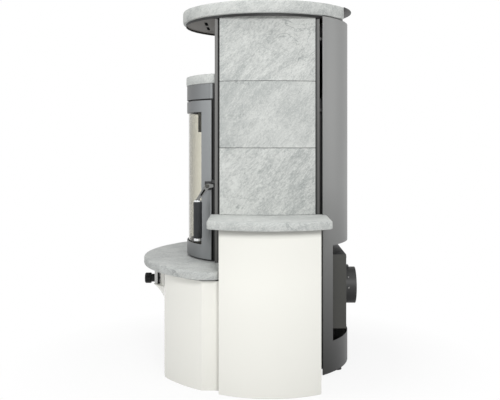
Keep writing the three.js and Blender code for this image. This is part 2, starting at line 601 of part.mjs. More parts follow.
function frontCornerCeramic() {
  const outline = (inset) => {
    const radius = FRONT_BASE_RADIUS - inset;
    const side = FRONT_BASE_SIDE - inset;
    const faceRadius = FACE_RADIUS - inset;
    const seam = CENTRE_HALF + TOUCH;
    const startAngle = -Math.acos(side / radius);
    const endAngle = -Math.acos(FRONT_FACE_HALF / radius);
    const shape = new THREE.Shape();
    shape.moveTo(seam, FACE_CENTRE - Math.sqrt(faceRadius ** 2 - seam ** 2));
    shape.absarc(0, FACE_CENTRE, faceRadius, -Math.acos(seam / faceRadius),
      -Math.acos(FRONT_FACE_HALF / faceRadius), false);
    shape.absarc(0, FRONT_CENTRE, radius, endAngle, startAngle, false);
    shape.lineTo(side, FRONT_BASE_REAR);
    return shape;
  };
  const wall = outline(0);
  const inside = outline(CERAMIC_WALL).getPoints(10).reverse();
  inside.forEach((point) => wall.lineTo(point.x, point.y));
  wall.closePath();
  return raise(wall, 0, FRONT_BASE_TOP, 0, 1, 10);
}

// The middle ceramic's front face flares out into a lip under the air control and stands back above it.
function spoutFace(x, z) {
  const face = FACE_CENTRE - Math.sqrt(FACE_RADIUS ** 2 - x ** 2);
  const rise = Math.max(0, (z - SPOUT_FOOT) / (SPOUT_LIP - SPOUT_FOOT));
  const reach = z > SPOUT_LIP ? SPOUT_RECESS : SPOUT_REACH * rise ** 2;
  const across = Math.max(0, 1 - (x / SPOUT_HALF) ** 2);
  return face - reach * across ** 1.5;
}

function frontCentreCeramic() {
  const columns = 20;
  const steps = 7;
  const flare = Array.from({ length: steps + 1 }, (_, i) =>
    SPOUT_FOOT + ((SPOUT_LIP - SPOUT_FOOT) * i) / steps);
  const levels = [0, ...flare, SPOUT_LIP + SPOUT_LEDGE_RISE, FRONT_BASE_TOP];
  const back = (x) => FACE_CENTRE - Math.sqrt((FACE_RADIUS - CERAMIC_WALL) ** 2 - x ** 2);
  const positions = [];
  const index = [];
  const row = columns + 1;
  for (const side of ['front', 'back']) {
    for (const z of levels) {
      for (let i = 0; i <= columns; i += 1) {
        const x = -CENTRE_HALF + (2 * CENTRE_HALF * i) / columns;
        positions.push(x, side === 'front' ? spoutFace(x, z) : back(x), z);
      }
    }
  }
  const layer = levels.length * row;
  const quad = (a, b, c, d) => index.push(a, b, c, a, c, d);
  for (let j = 0; j < levels.length - 1; j += 1) {
    for (let i = 0; i < columns; i += 1) {
      const a = j * row + i;
      quad(a, a + 1, a + row + 1, a + row);
      quad(layer + a + 1, layer + a, layer + a + row, layer + a + row + 1);
    }
    const left = j * row;
    const right = left + columns;
    quad(layer + left, left, left + row, layer + left + row);
    quad(right, layer + right, layer + right + row, right + row);
  }
  const last = (levels.length - 1) * row;
  for (let i = 0; i < columns; i += 1) {
    quad(i + 1, i, layer + i, layer + i + 1);
    quad(last + i, last + i + 1, layer + last + i + 1, layer + last + i);
  }
  const geometry = new THREE.BufferGeometry();
  geometry.setAttribute('position', new THREE.Float32BufferAttribute(positions, 3));
  geometry.setIndex(index);
  const slot = block([-SPOUT_SLOT / 2, FRONT_FACE_APEX - SPOUT_REACH - PAST, SPOUT_LIP + SPOUT_LEDGE_RISE],
    [SPOUT_SLOT / 2, FRONT_FACE_APEX + CERAMIC_WALL + PAST, FRONT_BASE_TOP + PAST]);
  return cut(geometry, slot);
}

function buildFrontBase() {
  placePair('front_ceramic', frontCornerCeramic(), CERAMIC);
  place('front_ceramic_centre', frontCentreCeramic(), CERAMIC());
}

// ---- fire drum: firebox, header band, stone slab, niche ---------------------------------------
function drumOutline(radius, half, rear) {
  const angle = Math.acos(half / radius);
  const shape = new THREE.Shape();
  shape.absarc(0, DRUM_CENTRE, radius, Math.PI + angle, 2 * Math.PI - angle, false);
  shape.lineTo(half, rear);
  shape.lineTo(-half, rear);
  shape.closePath();
  return shape;
}

function buildFirebox() {
  const shell = raise(drumOutline(BOX_RADIUS, BOX_HALF_WIDTH, BOX_REAR), DOOR_BOTTOM, BOX_TOP, 0, 1, 22);
  const room = block([-BOX_HALF_WIDTH + BOX_WALL, DOOR_APEX - PAST, DOOR_BOTTOM + BOX_WALL],
    [BOX_HALF_WIDTH - BOX_WALL, BOX_REAR - BOX_WALL, BOX_TOP - BOX_WALL]);
  const outlet = turned(FLUE_RADIUS - FLUE_WALL, BOX_TOP - PAST, BOX_TOP + PAST).translate(0, FLUE_DEPTH, 0);
  const inletLevel = DOOR_BOTTOM + BOX_INLET_RISE;
  const airHole = alongY(BOX_INLET_RADIUS, BOX_REAR - PAST, BOX_REAR + PAST, 0, inletLevel, 0, 24);
  place('firebox_shell', cut(shell, room, outlet, airHole), BLACK_STEEL());

  const pipe = turned(FLUE_RADIUS, BOX_TOP + TOUCH, TOTAL_HEIGHT - FLUE_SINK, FLUE_RADIUS - FLUE_WALL)
    .translate(0, FLUE_DEPTH, 0);
  place('flue_collar', pipe, BLACK_STEEL());
}

function buildLining() {
  const inner = BOX_HALF_WIDTH - BOX_WALL - TOUCH;
  const front = DRUM_CENTRE - Math.sqrt(BOX_RADIUS ** 2 - BOX_HALF_WIDTH ** 2) + BRICK_SETBACK;
  const rear = BOX_REAR - BOX_WALL - TOUCH;
  const floor = DOOR_BOTTOM + BOX_WALL + TOUCH;
  placePair('firebrick_side', block([inner - BRICK, front, floor], [inner, rear, BRICK_TOP]), FIREBRICK);
  const backHalf = inner - BRICK - TOUCH;
  place('firebrick_back', block([-backHalf, rear - BRICK, floor], [backHalf, rear, BRICK_TOP]), FIREBRICK());

  const runnerRear = rear - BRICK - TOUCH;
  const leg = block([PAN_HALF_WIDTH + PAN_GAP, front, floor], [backHalf, runnerRear, HEARTH_LOW + SINK]);
  const [grateX, grateY] = GRATE_SIZE;
  const grateMiddle = (front + runnerRear) / 2;
  const hearth = block([-backHalf, front, HEARTH_LOW], [backHalf, runnerRear, HEARTH_TOP]);
  const seat = block([-grateX / 2, grateMiddle - grateY / 2, HEARTH_TOP - GRATE_THICKNESS],
    [grateX / 2, grateMiddle + grateY / 2, HEARTH_TOP + PAST]);
  const fallX = grateX / 2 - GRATE_LEDGE;
  const fallY = grateY / 2 - GRATE_LEDGE;
  const fall = block([-fallX, grateMiddle - fallY, HEARTH_LOW - PAST],
    [fallX, grateMiddle + fallY, HEARTH_TOP + PAST]);
  place('hearth_slab', cut(join(hearth, leg, mirrored(leg)), seat, fall), FIREBRICK());

  const grateFront = grateMiddle - grateY / 2;
  const grateRear = grateMiddle + grateY / 2;
  const grate = block([-grateX / 2 + TOUCH, grateFront + TOUCH, HEARTH_TOP - GRATE_THICKNESS + TOUCH],
    [grateX / 2 - TOUCH, grateRear - TOUCH, HEARTH_TOP]);
  const [rimSide, rimEnd] = GRATE_RIM;
  const pitch = (grateX - 2 * rimSide) / GRATE_SLOTS;
  const slots = Array.from({ length: GRATE_SLOTS }, (_, i) => {
    const x = -grateX / 2 + rimSide + pitch * (i + 0.5);
    return block([x - GRATE_SLOT_WIDTH / 2, grateFront + rimEnd, HEARTH_LOW],
      [x + GRATE_SLOT_WIDTH / 2, grateRear - rimEnd, HEARTH_TOP + PAST]);
  });
  place('grate', cut(grate, ...slots), CAST_IRON());

  const panFront = front + PAN_GAP;
  const panRear = runnerRear - PAN_REAR_GAP;
  const pan = block([-PAN_HALF_WIDTH, panFront, floor],
    [PAN_HALF_WIDTH, panRear, floor + PAN_HEIGHT - PAN_GAP]);
  const panRoom = block([-PAN_HALF_WIDTH + PAN_WALL, panFront + PAN_WALL, floor + PAN_WALL],
    [PAN_HALF_WIDTH - PAN_WALL, panRear - PAN_WALL, floor + PAN_HEIGHT + PAST]);
  place('ash_pan', cut(pan, panRoom), DARK_STEEL());

  place('baffle_plate', block([-inner, front + BAFFLE_FRONT_GAP, BRICK_TOP + TOUCH],
    [inner, rear, BRICK_TOP + TOUCH + BAFFLE_THICKNESS]), FIREBRICK());
}

function buildNiche() {
  const headerLow = BOX_TOP + TOUCH;
  const band = curvedWall({
    centre: DRUM_CENTRE, outer: DOOR_RADIUS, inner: DOOR_RADIUS - HEADER_SHEET,
    half: DOOR_HALF_WIDTH, low: headerLow, high: SLAB_UNDERSIDE - TOUCH,
  });
  const floorOutline = drumOutline(DOOR_RADIUS - SINK, DOOR_HALF_WIDTH - HEADER_FLOOR_INSET,
    POST_FRONT - TOUCH);
  const floor = raise(floorOutline, headerLow, headerLow + HEADER_SHEET, 0, 1, 24);
  const cheek = block([DOOR_HALF_WIDTH - HEADER_SHEET, DOOR_EDGE_Y - SINK, headerLow],
    [DOOR_HALF_WIDTH, POST_FRONT - TOUCH, SLAB_UNDERSIDE - TOUCH]);
  place('header_band', join(join(band, floor), join(cheek, mirrored(cheek))), GREY_STEEL());

  const slab = raise(drumOutline(DOOR_RADIUS + SLAB_PROUD, DOOR_HALF_WIDTH + SLAB_PROUD, SLAB_REAR),
    SLAB_UNDERSIDE, SLAB_TOP, SLAB_EDGE_ROUND, 2, 24);
  const sides = [-1, 1].map((side) => {
    const near = side * (POST_INNER - TOUCH);
    const far = side * (DOOR_HALF_WIDTH + SLAB_PROUD + PAST);
    return block([Math.min(near, far), POST_FRONT - TOUCH, SLAB_UNDERSIDE - PAST],
      [Math.max(near, far), SLAB_REAR + PAST, SLAB_TOP + PAST]);
  });
  place('niche_slab', cut(slab, ...sides), STONE());
  const floorLevel = SLAB_TOP + TOUCH;
  const side = block([NICHE_HALF_WIDTH - NICHE_WALL, POST_FRONT + NICHE_FRONT_INSET, floorLevel],
    [NICHE_HALF_WIDTH, NICHE_REAR + NICHE_WALL, COLUMN_TOP]);
  const back = block([-NICHE_HALF_WIDTH, NICHE_REAR, floorLevel],
    [NICHE_HALF_WIDTH, NICHE_REAR + NICHE_WALL, COLUMN_TOP]);
  place('niche_liner', join(side, mirrored(side), back), DARK_STEEL());
}

// ---- pedestal, base plate, feet ---------------------------------------------------------------
function buildPedestal() {
  const outline = new THREE.Shape();
  const reach = PANEL_INNER - BASE_PANEL_GAP;
  const rear = Math.sqrt(reach ** 2 - PEDESTAL_HALF_WIDTH ** 2) + PANEL_CENTRE;
  outline.moveTo(-POST_OUTER, POST_FRONT);
  outline.lineTo(POST_OUTER, POST_FRONT);
  outline.lineTo(POST_OUTER, REAR_POST_END);
  outline.lineTo(PEDESTAL_HALF_WIDTH, rear);
  outline.lineTo(-PEDESTAL_HALF_WIDTH, rear);
  outline.lineTo(-POST_OUTER, REAR_POST_END);
  outline.closePath();
  const arc = turned(reach, FOOT_HEIGHT - PAST, BASE_TOP + PAST, 0, 72).translate(0, PANEL_CENTRE, 0);
  const footReach = block([-PEDESTAL_HALF_WIDTH, 0, FOOT_HEIGHT],
    [PEDESTAL_HALF_WIDTH, PANEL_APEX, BASE_TOP]);
  const plate = join(raise(outline, FOOT_HEIGHT, BASE_TOP), common(footReach, arc));
  place('base_plate', plate, BLACK_STEEL());
  const [discRadius, discThickness] = FOOT_DISC;
  const [frontX, frontY] = FRONT_FOOT;
  const rearY = PANEL_CENTRE - FOOT_RADIUS - REAR_FOOT_GAP
    + Math.sqrt(PANEL_INNER ** 2 - (REAR_FOOT_X + FOOT_RADIUS) ** 2);
  const feet = [[-frontX, frontY], [frontX, frontY], [-REAR_FOOT_X, rearY], [REAR_FOOT_X, rearY]];
  feet.forEach(([x, y], i) => {
    const foot = join(turned(FOOT_RADIUS, 0, FOOT_HEIGHT - TOUCH, 0, 16),
      turned(discRadius, 0, discThickness, 0, 24));
    place(`levelling_foot_${i + 1}`, foot.translate(x, y, 0), BLACK_STEEL());
  });

  const low = BASE_TOP + TOUCH;
  const high = DOOR_BOTTOM - TOUCH;
  const walls = block([-PEDESTAL_HALF_WIDTH, PEDESTAL_FRONT, low], [PEDESTAL_HALF_WIDTH, BOX_REAR, high]);
  const room = block([-PEDESTAL_HALF_WIDTH + PEDESTAL_WALL, PEDESTAL_FRONT + PEDESTAL_WALL, low - PAST],
    [PEDESTAL_HALF_WIDTH - PEDESTAL_WALL, BOX_REAR - PEDESTAL_WALL, high + PAST]);
  const rodHole = alongY(ROD_RADIUS + SLIDE, PEDESTAL_FRONT - PAST, PEDESTAL_FRONT + PAST, 0, ROD_LEVEL,
    0, 20);
  const airHole = alongY(PEDESTAL_INLET_RADIUS, BOX_REAR - PAST, BOX_REAR + PAST, 0, STUB_LEVEL);
  place('pedestal', cut(walls, room, rodHole, airHole), BLACK_STEEL());
}

// ---- air control: knob, rod and damper slide forward together ---------------------------------
function buildAirControl() {
  const [headRadius, headLength] = KNOB_HEAD;
  const [neckRadius, neckLength] = KNOB_NECK;
  const [frontChamfer, rearChamfer] = KNOB_CHAMFER;
  const headRear = KNOB_FRONT + headLength;
  const knobRear = headRear + neckLength;
  const profile = [
    [0, 0],
    [headRadius - frontChamfer, 0],
    [headRadius, frontChamfer],
    [headRadius, headLength - rearChamfer],
    [headRadius - rearChamfer, headLength],
    [neckRadius, headLength],
    [neckRadius, headLength + neckLength],
    [0, headLength + neckLength],
  ].map(([r, y]) => new THREE.Vector2(r, y));
  const knob = new THREE.LatheGeometry(profile, 24).translate(0, KNOB_FRONT, ROD_LEVEL);
  place('air_knob', knob, RUBBER());
  place('air_rod', alongY(ROD_RADIUS, knobRear + TOUCH, ROD_REAR, 0, ROD_LEVEL, 0, 20), CHROME());

  const [damperX, damperY, damperZ] = DAMPER;
  place('air_damper', block([-damperX / 2, ROD_REAR + TOUCH, ROD_LEVEL - damperZ / 2],
    [damperX / 2, ROD_REAR + TOUCH + damperY, ROD_LEVEL + damperZ / 2]), DARK_STEEL());

  const chamberFront = PEDESTAL_FRONT + PEDESTAL_WALL + TOUCH;
  const chamberRear = chamberFront + DAMPER_CHAMBER_LENGTH;
  const outerX = damperX / 2 + DAMPER_CHAMBER_WALL;
  const outerZ = damperZ / 2 + DAMPER_CHAMBER_WALL;
  const chamber = block([-outerX, chamberFront, ROD_LEVEL - outerZ],
    [outerX, chamberRear, ROD_LEVEL + outerZ]);
  const room = block([-damperX / 2 - SLIDE, chamberFront - PAST, ROD_LEVEL - damperZ / 2 - SLIDE],
    [damperX / 2 + SLIDE, chamberRear + PAST, ROD_LEVEL + damperZ / 2 + SLIDE]);
  place('damper_chamber', cut(chamber, room), DARK_STEEL());

  // The guide is a stirrup that stands on the spout's lip, open in front.
  const guideHalf = SPOUT_SLOT / 2 - TOUCH;
  const guideLow = SPOUT_LIP + SPOUT_LEDGE_RISE + TOUCH;
  const stirrup = cut(
    block([-guideHalf, GUIDE_FRONT, guideLow], [guideHalf, GUIDE_REAR, FRONT_BASE_TOP]),
    block([-guideHalf + GUIDE_SHEET, GUIDE_FRONT - PAST, guideLow - PAST],
      [guideHalf - GUIDE_SHEET, GUIDE_REAR - GUIDE_SHEET, FRONT_BASE_TOP + PAST]));
  const hole = alongY(ROD_RADIUS + SLIDE, GUIDE_REAR - PAST, GUIDE_REAR + PAST, 0, ROD_LEVEL, 0, 20);
  place('rod_guide', cut(stirrup, hole), CHROME());
}

// ---- door: curved frame, glass, seals, hinge --------------------------------------------------
function windowTool(half, low, high) {
  return block([-half, DOOR_APEX - PAST, low], [half, DRUM_CENTRE, high]);
}

function buildDoorFrame() {
  const wall = curvedWall({
    centre: DRUM_CENTRE, outer: DOOR_RADIUS, inner: DOOR_RADIUS - DOOR_SHEET,
    half: DOOR_HALF_WIDTH, low: DOOR_BOTTOM, high: DOOR_TOP,
  });
  const edge = block([DOOR_HALF_WIDTH - DOOR_SHEET, DOOR_EDGE_Y, DOOR_BOTTOM],
    [DOOR_HALF_WIDTH, DOOR_EDGE_Y + DOOR_EDGE_DEPTH, DOOR_TOP]);
  const knuckles = HINGE_LEVELS.flatMap((level) => [
    turned(HINGE_RADIUS, level, level + HINGE_KNUCKLE, 0, 16).translate(HINGE_X, HINGE_Y, 0),
    block([HINGE_X, DOOR_EDGE_Y, level],
      [-DOOR_HALF_WIDTH + SINK, DOOR_EDGE_Y + DOOR_SHEET, level + HINGE_KNUCKLE]),
  ]);
  const bores = HINGE_LEVELS.map((level) =>
    turned(HINGE_PIN_RADIUS + SLIDE, level - PAST, level + HINGE_KNUCKLE + PAST, 0, 16)
      .translate(HINGE_X, HINGE_Y, 0));
  const body = join(wall, edge, mirrored(edge), ...knuckles);
  place('door_frame', cut(body, windowTool(PANE_HALF_WIDTH, PANE_LOW, PANE_HIGH), ...bores), GREY_STEEL());
}

// The glass lies in its seal against the frame, and the retainer holds both from behind.
function buildGlazing() {
  const half = PANE_HALF_WIDTH + GLASS_OVERLAP;
  const low = PANE_LOW - GLASS_OVERLAP;
  const high = PANE_HIGH + GLASS_OVERLAP;
  const inner = GLASS_RADIUS - GLASS_THICKNESS;
  const frameInner = DOOR_RADIUS - DOOR_SHEET - TOUCH;
  const centre = DRUM_CENTRE;
  place('door_glass', curvedWall({ centre, outer: GLASS_RADIUS, inner, half, low, high }), GLASS());

  const seal = curvedWall({ centre, outer: frameInner, inner: GLASS_RADIUS + TOUCH, half, low, high });
  const sealWindow = windowTool(PANE_HALF_WIDTH + SEAL_SETBACK, PANE_LOW - SEAL_SETBACK,
    PANE_HIGH + SEAL_SETBACK);
  place('glass_seal', cut(seal, sealWindow), GASKET());

  const rim = TOUCH + RETAINER_RIM;
  const outside = { centre, half: half + rim, low: low - rim, high: high + rim, segments: 12 };
  const lapInner = inner - TOUCH - RETAINER_SHEET;
  const seatHalf = (half + TOUCH) * (DOOR_RADIUS / GLASS_RADIUS);
  const seat = curvedWall({
    centre, outer: DOOR_RADIUS, inner: inner - TOUCH, half: seatHalf, low: low - TOUCH, high: high + TOUCH,
  });
  const tray = cut(curvedWall({ ...outside, outer: frameInner, inner: lapInner }), seat);
  const [cornerWidth, cornerHeight] = RETAINER_CORNER;
  const openHalf = half - RETAINER_LAP;
  place('glass_retainer', cut(tray,
    windowTool(openHalf, low + RETAINER_LAP, high - RETAINER_LAP - cornerHeight),
    windowTool(openHalf - cornerWidth, low + RETAINER_LAP, high - RETAINER_LAP)), DARK_STEEL());
}

function buildDoorSeal() {
  const rope = curvedWall({
    centre: DRUM_CENTRE, outer: DOOR_RADIUS - DOOR_SHEET - TOUCH, inner: BOX_RADIUS + TOUCH,
    half: DOOR_HALF_WIDTH - DOOR_SHEET - TOUCH, low: DOOR_BOTTOM + TOUCH, high: DOOR_TOP - TOUCH,
  });
  const inside = windowTool(BOX_HALF_WIDTH - SEAL_WIDTH, DOOR_BOTTOM + SEAL_WIDTH, DOOR_TOP - SEAL_WIDTH);
  place('door_seal', cut(rope, inside), GASKET());
}

function buildHinges() {
  const post = block([-POST_OUTER - TOUCH, POST_FRONT - TOUCH, 0], [-POST_INNER + TOUCH, 0, TOTAL_HEIGHT]);
  const reach = HINGE_RADIUS - SINK;
  const armRear = POST_FRONT + HINGE_ARM_LAP;
  HINGE_LEVELS.forEach((level, i) => {
    const high = level - TOUCH;
    const low = high - HINGE_ARM;
    const eye = turned(reach, low, high, 0, 16).translate(HINGE_X, HINGE_Y, 0);
    const arm = block([HINGE_X - reach, HINGE_Y, low], [HINGE_X + reach, armRear, high]);
    const inward = block([HINGE_X, armRear - HINGE_ARM_DEPTH, low],
      [-BOX_HALF_WIDTH - TOUCH, armRear, high]);
    const pin = turned(HINGE_PIN_RADIUS, high - SINK, level + HINGE_KNUCKLE + HINGE_PIN_PROUD, 0, 16)
      .translate(HINGE_X, HINGE_Y, 0);
    place(`hinge_bracket_${['lower', 'upper'][i]}`, cut(join(eye, arm, inward, pin), post), BLACK_STEEL());
  });
}

// ---- handle: bracket and pin on the door, lever with its grip ---------------------------------
// Side view of the lever: a short nose behind the pivot and an arm down to the grip.
function leverArm(middle) {
  const slope = Math.hypot(GRIP_FORWARD, GRIP_DROP);
  const acrossY = (GRIP_DROP / slope) * ARM_WIDTH / 2;
  const acrossZ = (GRIP_FORWARD / slope) * ARM_WIDTH / 2;
  const profile = new THREE.Shape([
    ...LEVER_NOSE.map(([back, up]) => new THREE.Vector2(PIVOT_Y + back, PIVOT_LEVEL + up)),
    new THREE.Vector2(GRIP_Y - acrossY, GRIP_CAP_TOP + acrossZ + LEVER_SHOULDER),
    new THREE.Vector2(GRIP_Y - acrossY, GRIP_CAP_TOP + TOUCH),
    new THREE.Vector2(GRIP_Y + acrossY, GRIP_CAP_TOP + TOUCH),
    new THREE.Vector2(PIVOT_Y + LEVER_HEEL[0], PIVOT_LEVEL + LEVER_HEEL[1]),
  ]);
  // The outline is drawn in X and Y, and turned to stand in the Y-Z plane.
  const upright = new THREE.Matrix4().set(0, 0, 1, 0, 1, 0, 0, 0, 0, 1, 0, 0, 0, 0, 0, 1);
  return new THREE.ExtrudeGeometry(profile, { depth: ARM_SHEET, bevelEnabled: false })
    .applyMatrix4(upright).translate(middle - ARM_SHEET / 2, 0, 0);
}

function buildHandle() {
  const bracketX = DOOR_HALF_WIDTH + TOUCH;
  const bracket = block([bracketX, PIVOT_Y - BRACKET_FORWARD, PIVOT_LEVEL - BRACKET_HEIGHT / 2],
    [bracketX + BRACKET_SHEET, DOOR_EDGE_Y + DOOR_EDGE_DEPTH, PIVOT_LEVEL + BRACKET_HEIGHT / 2]);
  const pinEnd = PIVOT_X + ARM_SPREAD + ARM_SHEET;
  const pin = alongX(PIVOT_PIN_RADIUS, bracketX, pinEnd, PIVOT_Y, PIVOT_LEVEL);
  place('handle_bracket', join(bracket, pin), BLACK_STEEL());

  const pinHole = alongX(PIVOT_PIN_RADIUS + SLIDE, bracketX, pinEnd + PAST, PIVOT_Y, PIVOT_LEVEL);
  const bridge = turned(ARM_SPREAD + ARM_SHEET / 2, GRIP_CAP_TOP + TOUCH, GRIP_CAP_TOP + GRIP_BRIDGE, 0, 24)
    .translate(PIVOT_X, GRIP_Y, 0);
  const lever = join(leverArm(PIVOT_X - ARM_SPREAD), leverArm(PIVOT_X + ARM_SPREAD), bridge);
  place('handle_lever', cut(lever, pinHole), DARK_STEEL());

  // The core is the bolt through the grip with a cap at each end.
  const capRadius = GRIP_RADIUS - GRIP_CAP_INSET;
  const gripHigh = GRIP_CAP_TOP - GRIP_CAP_UPPER;
  const gripLow = gripHigh - GRIP_LENGTH;
  const core = join(
    turned(capRadius, gripHigh + TOUCH, GRIP_CAP_TOP, 0, 28),
    turned(GRIP_BOLT_RADIUS, gripLow - SINK, gripHigh + SINK, 0, 16),
    turned(capRadius, gripLow - GRIP_CAP_LOWER, gripLow - TOUCH, 0, 28));
  place('grip_core', core.translate(PIVOT_X, GRIP_Y, 0), CHROME());
  const grip = turned(GRIP_RADIUS, gripLow, gripHigh, GRIP_BOLT_RADIUS + TOUCH, 28);
  place('handle_grip', grip.translate(PIVOT_X, GRIP_Y, 0), RUBBER());

  const [keeperWidth, keeperDepth, keeperHeight] = KEEPER;
  const keeperRear = POST_FRONT - TOUCH;
  const keeperMiddle = (POST_INNER + POST_OUTER) / 2;
  const keeperLow = PIVOT_LEVEL + KEEPER_RISE;
  place('latch_keeper', block([keeperMiddle - keeperWidth / 2, keeperRear - keeperDepth, keeperLow],
    [keeperMiddle + keeperWidth / 2, keeperRear, keeperLow + keeperHeight]), BLACK_STEEL());
}

buildTop();
buildColumn();
buildBack();
buildBenches();
buildFrontShelf();
buildFrontBase();
buildFirebox();
buildLining();
buildNiche();
buildPedestal();
buildAirControl();
buildDoorFrame();
buildGlazing();
buildDoorSeal();
buildHinges();
buildHandle();

export default stove;
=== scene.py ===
"""Looks of the tiled stove: soapstone, glazed ceramic, painted steel and a curved glass door.

Metres, +Z up, the fire door faces -Y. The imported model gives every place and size. Curved pieces are
shown as smooth copies of their solids, with softened edges, and flat inner pieces stay as they are.
"""

import json
import math

import bmesh
import bpy
from mathutils import Matrix, Vector


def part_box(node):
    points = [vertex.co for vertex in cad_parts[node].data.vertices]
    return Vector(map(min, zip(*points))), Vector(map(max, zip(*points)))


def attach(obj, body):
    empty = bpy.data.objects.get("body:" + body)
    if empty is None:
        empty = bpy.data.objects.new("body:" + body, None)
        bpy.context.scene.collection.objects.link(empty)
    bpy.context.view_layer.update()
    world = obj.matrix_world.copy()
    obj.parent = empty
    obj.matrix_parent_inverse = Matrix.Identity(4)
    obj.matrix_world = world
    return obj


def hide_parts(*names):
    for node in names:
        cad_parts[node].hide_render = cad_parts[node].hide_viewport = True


bl_info = {
    "name": "Tiled stove looks",
    "version": (1, 0, 0),
    "blender": (4, 5, 0),
    "location": "3D View > Sidebar > Tiled stove",
    "description": "Dresses the packed tiled stove with stone, ceramic, steel, glass and studio light",
    "category": "Object",
}

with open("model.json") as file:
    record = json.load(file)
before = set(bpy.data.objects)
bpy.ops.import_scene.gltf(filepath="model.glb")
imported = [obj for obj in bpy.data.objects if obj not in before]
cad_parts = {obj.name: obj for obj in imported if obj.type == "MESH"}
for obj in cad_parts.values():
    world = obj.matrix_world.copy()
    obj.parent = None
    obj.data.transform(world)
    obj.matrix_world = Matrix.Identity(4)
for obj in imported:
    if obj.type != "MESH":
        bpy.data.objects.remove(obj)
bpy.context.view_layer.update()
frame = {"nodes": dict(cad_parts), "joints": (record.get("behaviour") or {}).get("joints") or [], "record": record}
NODES = frame["nodes"]
BODY_OF = {node: body for body, nodes in frame["record"]["behaviour"]["bodies"].items() for node in nodes}
JOINTS = {joint["name"]: joint for joint in frame["joints"]}

MILLIMETRE = 0.001
SMOOTH_ANGLE = math.radians(32)         # faces that meet at less than this shade as one surface
FLAT_ANGLE = math.radians(0.4)          # faces that meet at less than this are one flat face
WELD = 2e-5                             # vertices closer than this are one

# Places on the stove
TILE_RADIUS = 0.680                     # outer face of the tiles in plan
DOOR_RADIUS = 0.315                     # outer face of the door's curve in plan
RETAINER_RADIUS = 0.3012                # inner face of the plate that holds the glass
HEADER_END_Y = -0.147                   # the header band is painted black behind this, as shade between the posts
STUB_RADIUS = 0.076
STUB_RING_RADIUS = 0.081                # collar ring at the root of the air stub
STUB_SLEEVE = 25 * MILLIMETRE           # from the air box to the rivets of the stub
PAINTED_SHADE_WIDTH = 8 * MILLIMETRE             # width of the painted shade at the posts' edges and at the top of the front bases
TRAY_RIM_SHADE = 3.5 * MILLIMETRE             # width of the painted shade at the top tray's rim
TAB_SHADE_REACH = 9 * MILLIMETRE              # reach of the painted shade on the rear posts' tabs between them and the back panel

# Dark strips in the tray's two slots, as painted shade over the pale stone above
TRAY_SLOT_X = 67.5 * MILLIMETRE         # middle of a slot, to either side
TRAY_SLOT_Y = -0.18065                  # middle of the slots between front and rear
TRAY_STRIP = Vector((94.8, 11.8, 1.0)) * MILLIMETRE
TRAY_STRIP_DROP = 0.7 * MILLIMETRE      # middle of a strip below the tray's top

# Strips in the grooves between the rows of tiles
JOINT_STEPS = 40
JOINT_DEPTHS = (0.9, 4.0)               # front and rear of a strip behind the tiles' faces, in millimetres
JOINT_HALF_HEIGHT = 0.9                 # in millimetres
JOINT_DROP = 0.15 * MILLIMETRE          # middle of a strip below the bottom of the row above
JOINT_SPAN = 0.995                      # share of the tiles' width that a strip spans

# Tones that belong to no setting
DARK = (0.012, 0.012, 0.012)            # black of painted shade in gaps, margins and hollows, of the door frame's inner faces and of felt
TRAY_TONE = (0.148, 0.136, 0.120)
GUIDE_TONE = (0.5, 0.5, 0.49)
RIVET_TONE = (0.3, 0.3, 0.29)
CHROME_TONE = (0.78, 0.79, 0.8)
BRAID_TONE = (0.05, 0.05, 0.047)
FLOOR_TONE = (0.85, 0.85, 0.85)
FLOOR_PLAIN = 0.86                      # share of plain white in the floor near the stove
FLOOR_REACH = 0.6                       # beyond this the share rises until the floor is plain white
FLOOR_BLEND = 2.5                       # how fast it rises, per metre
WHITE = (1, 1, 1)

# Painted shade: (axis, first level, second level, share of the colour that is left at the first)
DOOR_PAINTED_SHADE = ("Y", -0.268, -0.19, 0.3)   # painted shade on the drum's front, which faces away from the light
SHELF_SHADOW_DEPTH = 32 * MILLIMETRE            # height of the painted shadow on the glaze under the side shelves
SHELF_SHADOW_SHARE = 0.4                        # share of the glaze's colour that the painted shadow leaves at its top
GLAZE_SHADE_HEIGHT = 0.4                 # painted shade: the glaze pales from the floor up to this level
PANEL_SHADE_SHARE = 0.05                 # share of the back panel's grey that the painted shade leaves at the floor
MASK_SHARPNESS = 2000.0                 # per metre, across the edge of a mask


# ---- shader nodes -------------------------------------------------------------------------------
class Signal:
    """A node's output that takes part in arithmetic; each operation adds a Math node."""

    def __init__(self, shading, socket):
        self.shading = shading
        self.socket = socket

    def math(self, operation, *values):
        return self.shading.node("ShaderNodeMath", {"operation": operation}, dict(enumerate(values)))

    def __add__(self, other):
        return self.math("ADD", self, other)

    def __radd__(self, other):
        return self.math("ADD", other, self)

    def __sub__(self, other):
        return self.math("SUBTRACT", self, other)

    def __rsub__(self, other):
        return self.math("SUBTRACT", other, self)

    def __mul__(self, other):
        return self.math("MULTIPLY", self, other)

    def __pow__(self, other):
        return self.math("POWER", self, other)

    def __abs__(self):
        return self.math("ABSOLUTE", self)

    def clipped(self):
        return self.math("MINIMUM", self.math("MAXIMUM", self, 0.0), 1.0)


